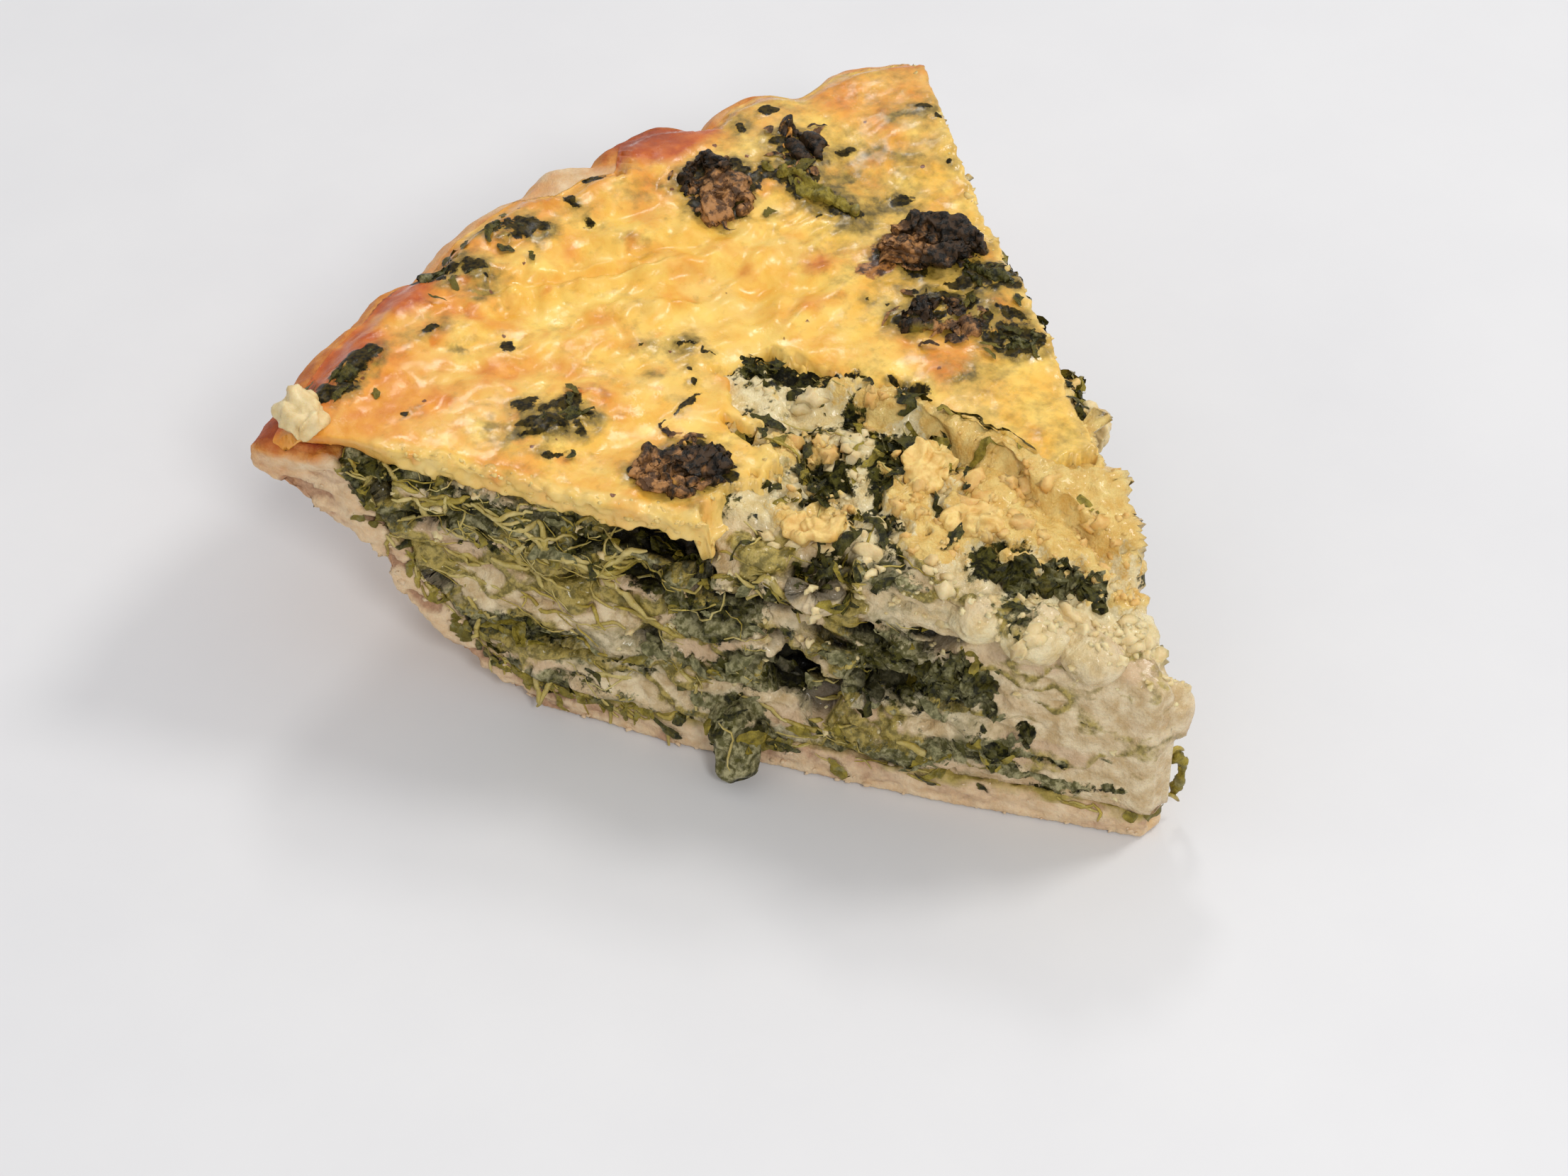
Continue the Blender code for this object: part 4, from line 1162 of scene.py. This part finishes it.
def charred_fields(node, local, pleats, above, offset):
    heading, share = BROWN_SIDE[node]
    toward = offset @ direction(heading) / (2 * offset.std())
    brown_part = 0.5 + share + 0.34 * toward - 0.22 * pleats + 0.24 * noise(offset, 2.0, 212)
    striped = 0.45 if node == "charred_leaf_right" else 0.0
    bare_stripes = striped * ease(0.2, -0.3, pleats) * ease(-0.5, 0.3, toward)
    edge = 0.72 - 0.5 * above + 0.2 * noise(offset, 1.8, 217)
    return {"char": 1 - 1.6 * bare_stripes, "tan": brown_part, "olive": striped * 1.6, "milky": 0.0, "gold": edge}


def green_fields(node, local, pleats, above, offset):
    stem = 0.6 * (node in ("olive_stem", "stem_strand_tip"))
    olive = 0.28 + stem - 0.12 * pleats + 0.22 * noise(offset, 2.0, 213)
    edge = 0.6 - 0.5 * above + 0.2 * noise(offset, 1.8, 217)
    milky = 0.22 + 0.1 * (node in ON_CUT) + 0.3 * noise(offset, 1.9, 216)
    return {"char": 0.0, "tan": 0.0, "olive": olive, "milky": milky, "gold": edge * (node not in ON_FILLING)}


def tone_field(base, swing):
    return lambda node, local, pleats, above, offset: {"tone": base + swing * noise(offset, 2.0, 214)}


charred = crumple_pieces("charred_leaves", CHARRED_NODES, 0.8, 2.3, "charred_leaf", CHARRED, charred_fields)
green = crumple_pieces("baked_leaves", GREEN_NODES, 0.5, 1.5, "green_leaf", LEAF, green_fields)
flakes = crumple_pieces("skin_flakes", FLAKE_NODES, 0.45, 0.8, "skin", FLAKE, tone_field(0.0, 0.3))
curds = crumple_pieces("curd_lumps", CURD_NODES, 0.75, 0.0, "curd", CURD, tone_field(0.1, 0.3))
print("small pieces:", sum(len(o.data.polygons) for o in (charred, green, flakes, curds)), "faces")

# %% [markdown]
# ## Shreds, fibres and crumbs
# A cut through cooked spinach frays. Torn bits of leaf, stringy stems and crumbs of curd stand
# off the surface by up to a millimetre. They are real small meshes, joined into one piece per
# kind. Each grows along the surface from a random start.

# %% Growing small bits on a surface
def trail(surface, start, heading, step, count, lift, wander=0.25):
    """Places and normals of points that follow the surface from the start."""
    places, normals = [], []
    at, way = np.array(start), np.array(heading)
    for _ in range(count):
        at, out, _ = nearest(surface, at)
        places.append(at + out * lift)
        normals.append(out)
        way = way - out * (way @ out)
        way += wander * chance.normal(size=3)
        way /= np.linalg.norm(way) + 1e-9
        at = at + way * step
    return np.array(places), np.array(normals)


def finer(rows, times=2):
    """The same path with more points along it."""
    count = (len(rows) - 1) * times + 1
    at = np.linspace(0, len(rows) - 1, count)
    return np.stack([np.interp(at, np.arange(len(rows)), column) for column in rows.T], 1)


def side_of(places, normals):
    """Which way is sideways along this path."""
    side = np.cross(normals, np.gradient(places, axis=0))
    return side / (np.linalg.norm(side, axis=1)[:, None] + 1e-9)


def add_strip(heap, places, normals, width, lifts, olive, milky=0.0, char=0.0, tan=0.0):
    """A crumpled strip of leaf along these places, with tapered ends and a wavy edge."""
    places, normals, lifts = finer(places), finer(normals), finer(lifts[:, None])[:, 0]
    count, side = len(places), side_of(places, normals)
    steps = np.array((-1.0, -0.5, 0.0, 0.5, 1.0))
    shares = np.sin(np.linspace(0.1, math.pi - 0.1, count)) ** 0.7 * chance.uniform(0.7, 1.25, count)
    grid = places[:, None] + side[:, None] * (steps[None, :, None] * (width / 2 * shares)[:, None, None])
    grid = grid + normals[:, None] * lifts[:, None, None]
    points = warp(grid.reshape(-1, 3), 1.1, 0.35, 221)
    points = warp(points, 0.5, 0.12, 225)
    faces = []
    for row in range(count - 1):
        for column in range(len(steps) - 1):
            first = row * len(steps) + column
            faces.append((first, first + 1, first + len(steps) + 1, first + len(steps)))
    heap.add(points, faces, olive=olive, milky=milky, char=char, tan=tan)


def add_thread(heap, places, normals, thickness, **fields):
    """A thin stem along these places, a little flat."""
    places, normals = finer(places), finer(normals)
    count, sides, side = len(places), 5, side_of(places, normals)
    shares = np.sqrt(np.sin(np.linspace(0.2, math.pi - 0.2, count)))
    rings = []
    for corner in range(sides):
        turn = 2 * math.pi * corner / sides
        way = side * math.cos(turn) + 0.6 * normals * math.sin(turn)
        rings.append(places + way * (thickness / 2 * shares)[:, None])
    points = np.stack(rings, 1).reshape(-1, 3)
    faces = []
    for row in range(count - 1):
        for corner in range(sides):
            after = (corner + 1) % sides
            first, second = row * sides + corner, row * sides + after
            faces.append((first, second, second + sides, first + sides))
    heap.add(points, faces, **fields)


def round_mesh(splits):
    ball = bmesh.new()
    bmesh.ops.create_icosphere(ball, subdivisions=splits, radius=1.0)
    points = np.array([vertex.co[:] for vertex in ball.verts])
    faces = [tuple(vertex.index for vertex in face.verts) for face in ball.faces]
    ball.free()
    return points, faces


BALLS = {splits: round_mesh(splits) for splits in (1, 2)}


def add_lump(heap, centre, size, splits=2, flat=1.0, **fields):
    points, faces = BALLS[splits]
    uneven = 1 + 0.75 * noise(points * 1.9 + chance.uniform(0, 90, 3), 1.0, 5)
    stretch = size * chance.uniform(0.7, 1.3, 3) * (1, 1, flat)
    heap.add(centre + points * uneven[:, None] * stretch, faces, **fields)


def pick(weights, count):
    """This many different point numbers, more often where the weight is high."""
    weights = np.clip(weights, 0, None)
    return chance.choice(len(weights), count, replace=False, p=weights / weights.sum())


portion = 1.0
print("portion of the shreds and crumbs:", portion)

# %% [markdown]
# At the left cut stems lie along the crust's wall, and elsewhere about level. Leaf shreds grow
# where the filling is leafy, and a fringe of them hangs over the right cut's upper edge. Hair
# particles could do this, but strips that are real meshes can be exported.

# %% Where shreds can grow, and which way they lie
place, outward = mesh_arrays(filling.data)
radius, angle = polar(place)
away = place - PIE_MIDDLE
left_along, height = away @ LEFT_ALONG, place[:, 2]
facing_left = ease(0.3, 0.7, outward @ LEFT_OUT) * ease(-7, -4, away @ LEFT_OUT)
facing_right = ease(0.3, 0.7, outward @ RIGHT_OUT) * ease(-7, -4, away @ RIGHT_OUT)
covered = radius > torn_edge[bins_of(angle)] + 1.0
facing_up = ease(0.3, 0.7, outward[:, 2]) * (1 - facing_left) * ~covered
visible = facing_left + 0.8 * facing_right + facing_up
above_floor = ease(5.6, 6.6, height)


def lying_way(index, spread):
    """The way that leaf and stems lie here: along the crust wall at the left, else about level."""
    out = outward[index]
    if facing_left[index] > 0.5 and left_along[index] > 70:
        way = -0.8 * LEFT_ALONG - 0.55 * UP
    else:
        way = np.cross(UP, out) if abs(out[2]) < 0.7 else direction(chance.uniform(0, 360))
    return way * chance.choice((-1, 1)) + spread * chance.normal(size=3)


print("points that show:", int((visible > 0.5).sum()))

# %% Shreds of leaf on the filling
SHREDS = 1000
shreds, threads = Heap(), Heap()
fringe = ease(0.35, 0.7, outward @ RIGHT_OUT) * ease(24, 30, height) * ease(34, 44, radius) * ease(88, 78, radius)
leafy = visible * above_floor * (0.05 + leaf) * ease(6, 26, radius) + 7.0 * fringe
for index in pick(leafy, int(SHREDS * portion)):
    count = int(chance.integers(4, 9))
    step = chance.uniform(0.7, 1.3)
    places, normals = trail(filling_surface, place[index], lying_way(index, 0.35), step, count, 0.05)
    wave = np.sin(np.linspace(0, 3, count) + chance.uniform(0, 6))
    lifts = np.clip(chance.normal(0.1, 0.25) + 0.3 * wave + 0.5 * fringe[index], -0.3, 1.0)
    kind = chance.random()
    olive_tone = 0.8 if kind > 0.74 else 0.2
    milky = (0.62 if kind < 0.45 else 0.32) * facing_left[index]
    add_strip(shreds, places, normals, chance.uniform(0.5, 2.0), lifts, olive_tone, milky)
print("shreds so far:", len(shreds.faces), "faces")

# %% [markdown]
# A baked leaf is brittle, so thin charred and green bits lie round each one on the skin.

# %% Bits round each leaf on the skin
skin_place, skin_out = mesh_arrays(skin.data)
for node in LYING_ON_SKIN:
    middle = mesh_arrays(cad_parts[node].data)[0].mean(0)
    from_middle = np.linalg.norm(skin_place[:, :2] - middle[:2], axis=1)
    near = hump(from_middle, 3.6, 2.4) * (skin_out[:, 2] > 0.5) * (from_middle < 8)
    burnt = node in CHARRED_NODES
    for index in pick(near, int((10 if burnt else 5) * portion)):
        count = int(chance.integers(4, 7))
        heading = chance.normal(size=3) * (1, 1, 0.2)
        places, normals = trail(skin_surface, skin_place[index], heading, chance.uniform(0.5, 0.9), count, 0.0)
        lifts = np.clip(chance.normal(0.12, 0.15) + 0.3 * np.sin(np.linspace(0, 3, count)), -0.1, 0.8)
        tone = chance.random()
        colours = {"olive": 0.35 * (not burnt) + 0.2 * tone, "char": 1.0 * burnt, "tan": (0.35 + 0.35 * tone) * burnt}
        add_strip(shreds, places, normals, chance.uniform(0.4, 1.4), lifts, **colours)
print("with bits round the leaves:", len(shreds.faces), "faces")

# %% [markdown]
# Stems are tougher than leaf, so the knife left their ends loose. Most lie in a mat high on the
# left cut, and a few hang out over the crust.

# %% Stems that the cut frayed
THREADS = 290
stringy = 0.25 + 1.3 * hump(height, 31, 6) * ease(56, 76, left_along)
stringy *= visible * (1 - 0.8 * facing_up) * above_floor * ease(28, 46, radius)
for index in pick(stringy, int(THREADS * portion)):
    count = int(chance.integers(5, 13))
    lift = chance.uniform(-0.1, 0.45)
    step, wander = chance.uniform(0.7, 1.2), chance.choice((0.08, 0.12, 0.3))
    places, normals = trail(filling_surface, place[index], lying_way(index, 0.25), step, count, lift, wander)
    add_thread(threads, places, normals, 0.2 + 0.9 * chance.random() ** 2.2, tone=chance.random() ** 1.3)


def hang(start, way, length, thickness, tone):
    """A loose stem that leaves the cut at the start and droops."""
    at = np.linspace(0, 1, 8)[:, None]
    places = start + way * (length * at) - UP * (0.5 * length * at * at) + 0.3 * chance.normal(size=(8, 3)) * at
    add_thread(threads, places, np.repeat([LEFT_OUT], 8, 0), thickness, tone=tone)


strand_points = mesh_arrays(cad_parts["stem_strand_tip"].data)[0]
for end in (strand_points[strand_points[:, 2].argmax()], strand_points[strand_points[:, 2].argmin()]):
    at = np.linspace(0, 1, 7)[:, None]
    places = end * (1 - at) + nearest(filling_surface, end)[0] * at + UP * (0.8 * np.sin(math.pi * at))
    add_thread(threads, places, np.repeat([LEFT_OUT], 7, 0), 0.9, tone=0.1)
# Loose stems: along the cut, height, length, slant.
LOOSE_STEMS = ((84, 8, 5, -0.2), (81, 7, 4.5, 0.5), (67, 6.5, 5, -0.3), (63, 6.6, 3, 0.2), (91, 14, 3, 0.3))
for along, up, length, slant in LOOSE_STEMS:
    start = PIE_MIDDLE + LEFT_ALONG * along + LEFT_OUT * 0.2 + UP * up
    hang(start, 0.35 * LEFT_OUT + slant * LEFT_ALONG - 0.7 * UP, length, 0.8, 0.5)
print("stems:", len(threads.faces), "faces")

# %% [markdown]
# The knife dragged scraps and stems from the filling over the cut crust. Half of them are stems.

# %% Scraps on the cut crust
SCRAPS = 130
pastry_place, pastry_out = mesh_arrays(pastry.data)
pastry_along = (pastry_place - PIE_MIDDLE) @ LEFT_ALONG
on_left_crust = ease(0.6, 0.9, pastry_out @ LEFT_OUT) * ease(1.9, 0.3, to_filling) * (pastry_place[:, 2] > 4.0)
for index in pick(on_left_crust * (0.35 + ease(62, 76, pastry_along)), int(SCRAPS * portion)):
    steep = ease(66, 78, pastry_along[index : index + 1])[0]
    way = -LEFT_ALONG - 0.9 * steep * UP + 0.35 * chance.normal(size=3)
    count = int(chance.integers(4, 9))
    places, normals = trail(pastry_surface, pastry_place[index], way, chance.uniform(0.6, 1.0), count, 0.12)
    if chance.random() < 0.5:
        add_thread(threads, places, normals, 0.25 + 0.7 * chance.random() ** 2, tone=chance.random() ** 1.5)
    else:
        lifts = np.clip(0.15 + 0.2 * np.sin(np.linspace(0, 3, count)), 0, 0.5)
        add_strip(shreds, places, normals, chance.uniform(0.6, 1.8), lifts, chance.uniform(0.3, 0.9), milky=0.35)

shreds.make("leaf_shreds", "green_leaf", LEAF)
threads.make("stem_fibres", "green_leaf", STEM)

# %% [markdown]
# Custard breaks into curds, the skin's torn edge into flakes, and the pastry into dry crumbs. Each
# crumb is a small uneven ball, partly sunk into what it came from.

# %% Curd, skin and dough crumbs
CURDS, SKIN_CRUMBS, DOUGH_CRUMBS = 520, 260, 130
crumbs_heap = Heap()
on_curd = visible * above_floor * (1 - 0.85 * leaf) * (0.15 + 1.6 * facing_up + 0.8 * ease(28, 31, height))
for index in pick(on_curd, int(CURDS * portion)):
    size = chance.uniform(0.25, 0.7) if chance.random() < 0.85 else chance.uniform(0.7, 1.5)
    tone = 0.8 * gold[index] + 0.15 * chance.random()
    add_lump(crumbs_heap, place[index] - outward[index] * 0.25 * size, size, 2 if size > 0.5 else 1, 0.8, tone=tone)
crumbs_heap.make("curd_crumbs", "curd", CURD)

skin_crumbs = Heap()
for index in pick(torn * (skin_out[:, 2] > -0.2), int(SKIN_CRUMBS * portion)):
    size = chance.uniform(0.2, 0.6)
    add_lump(skin_crumbs, skin_place[index] - skin_out[index] * 0.4 * size, size, 1, 0.6, tone=0.3 * chance.random())
skin_crumbs.make("skin_crumbs", "skin", FLAKE)

dough_heap = Heap()
for index in pick(at_cut * (0.3 + ease(2.0, 0.8, pastry_place[:, 2])), int(DOUGH_CRUMBS * portion)):
    size = chance.uniform(0.15, 0.5)
    centre = pastry_place[index] + pastry_out[index] * 0.1
    centre[2] = max(centre[2], 0.75 * size)
    add_lump(dough_heap, centre, size, 1, 0.6)
dough_heap.make("dough_crumbs", "pastry", DOUGH)

# %% [markdown]
# ## Setting
# A pale matt table. A window light stands to the right, a weak light behind gives the skin its
# edge, and a fill in front opens up the cut. The view is from above the left cut.

# %% Floor
FLOOR_COLOURS = (((226, 226, 227), (220, 220, 222), 60.0, 0.2),)
floor_mesh = bpy.data.meshes.new("floor")
floor_mesh.from_pydata([(-3, -3, 0), (3, -3, 0), (3, 3, 0), (-3, 3, 0)], [], [(0, 1, 2, 3)])
floor = put_in_scene("floor", floor_mesh)
floor.location.z = -0.2 * MM
floor_mesh.materials.append(food_material("table", FLOOR_COLOURS, (30.0, 0.55, 0.6), (8.0, 0.01)))
print("floor colour:", FLOOR_COLOURS[0][0])

# %% [markdown]
# Three round lamps and a pale room are enough. A small window makes the wet leaf and the skin
# glint, and a larger one would wash the relief out.

# %% Lights
ROOM_LIGHT = 0.6
# Name, position, size, watts, colour. All point at the slice.
LIGHTS = (
    ("window", (0.56, -0.24, 0.78), 0.24, 2.9, (1.0, 0.98, 0.95)),
    ("back light", (0.36, 0.46, 0.7), 0.16, 1.0, (1.0, 0.99, 0.97)),
    ("front fill", (-0.3, -0.6, 0.6), 0.18, 2.4, (1.0, 0.99, 0.97)),
)
MIDDLE_OF_SLICE = Vector((0, 0, 0.02))
for name, position, size, watts, colour in LIGHTS:
    data = bpy.data.lights.new(name, "AREA")
    data.shape = "DISK"
    data.size, data.energy, data.color = size, watts, colour
    light = put_in_scene(name, data)
    light.location = position
    light.rotation_euler = (MIDDLE_OF_SLICE - Vector(position)).to_track_quat("-Z", "Y").to_euler()
world = bpy.data.worlds.new("soft room")
world.use_nodes = True
world.node_tree.nodes["Background"].inputs["Color"].default_value = (0.98, 0.98, 1.0, 1)
world.node_tree.nodes["Background"].inputs["Strength"].default_value = ROOM_LIGHT
bpy.context.scene.world = world
bpy.context.scene.view_settings.view_transform = "Standard"
print("lights:", len(LIGHTS))

# %% [markdown]
# A long lens from nearly half a metre away keeps the tip from looking stretched.

# %% View
PITCH, HEADING = 46.774, -43.62
camera_data = bpy.data.cameras.new("view")
camera_data.lens = 81.03
camera_data.sensor_width = 36
camera_data.clip_start = 0.01
camera = put_in_scene("view", camera_data)
camera.location = (-0.2406, -0.2442, 0.3253)
camera.rotation_euler = (math.radians(PITCH), 0, math.radians(HEADING))
bpy.context.scene.camera = camera
print("the view looks down by", round(90 - PITCH), "degrees")
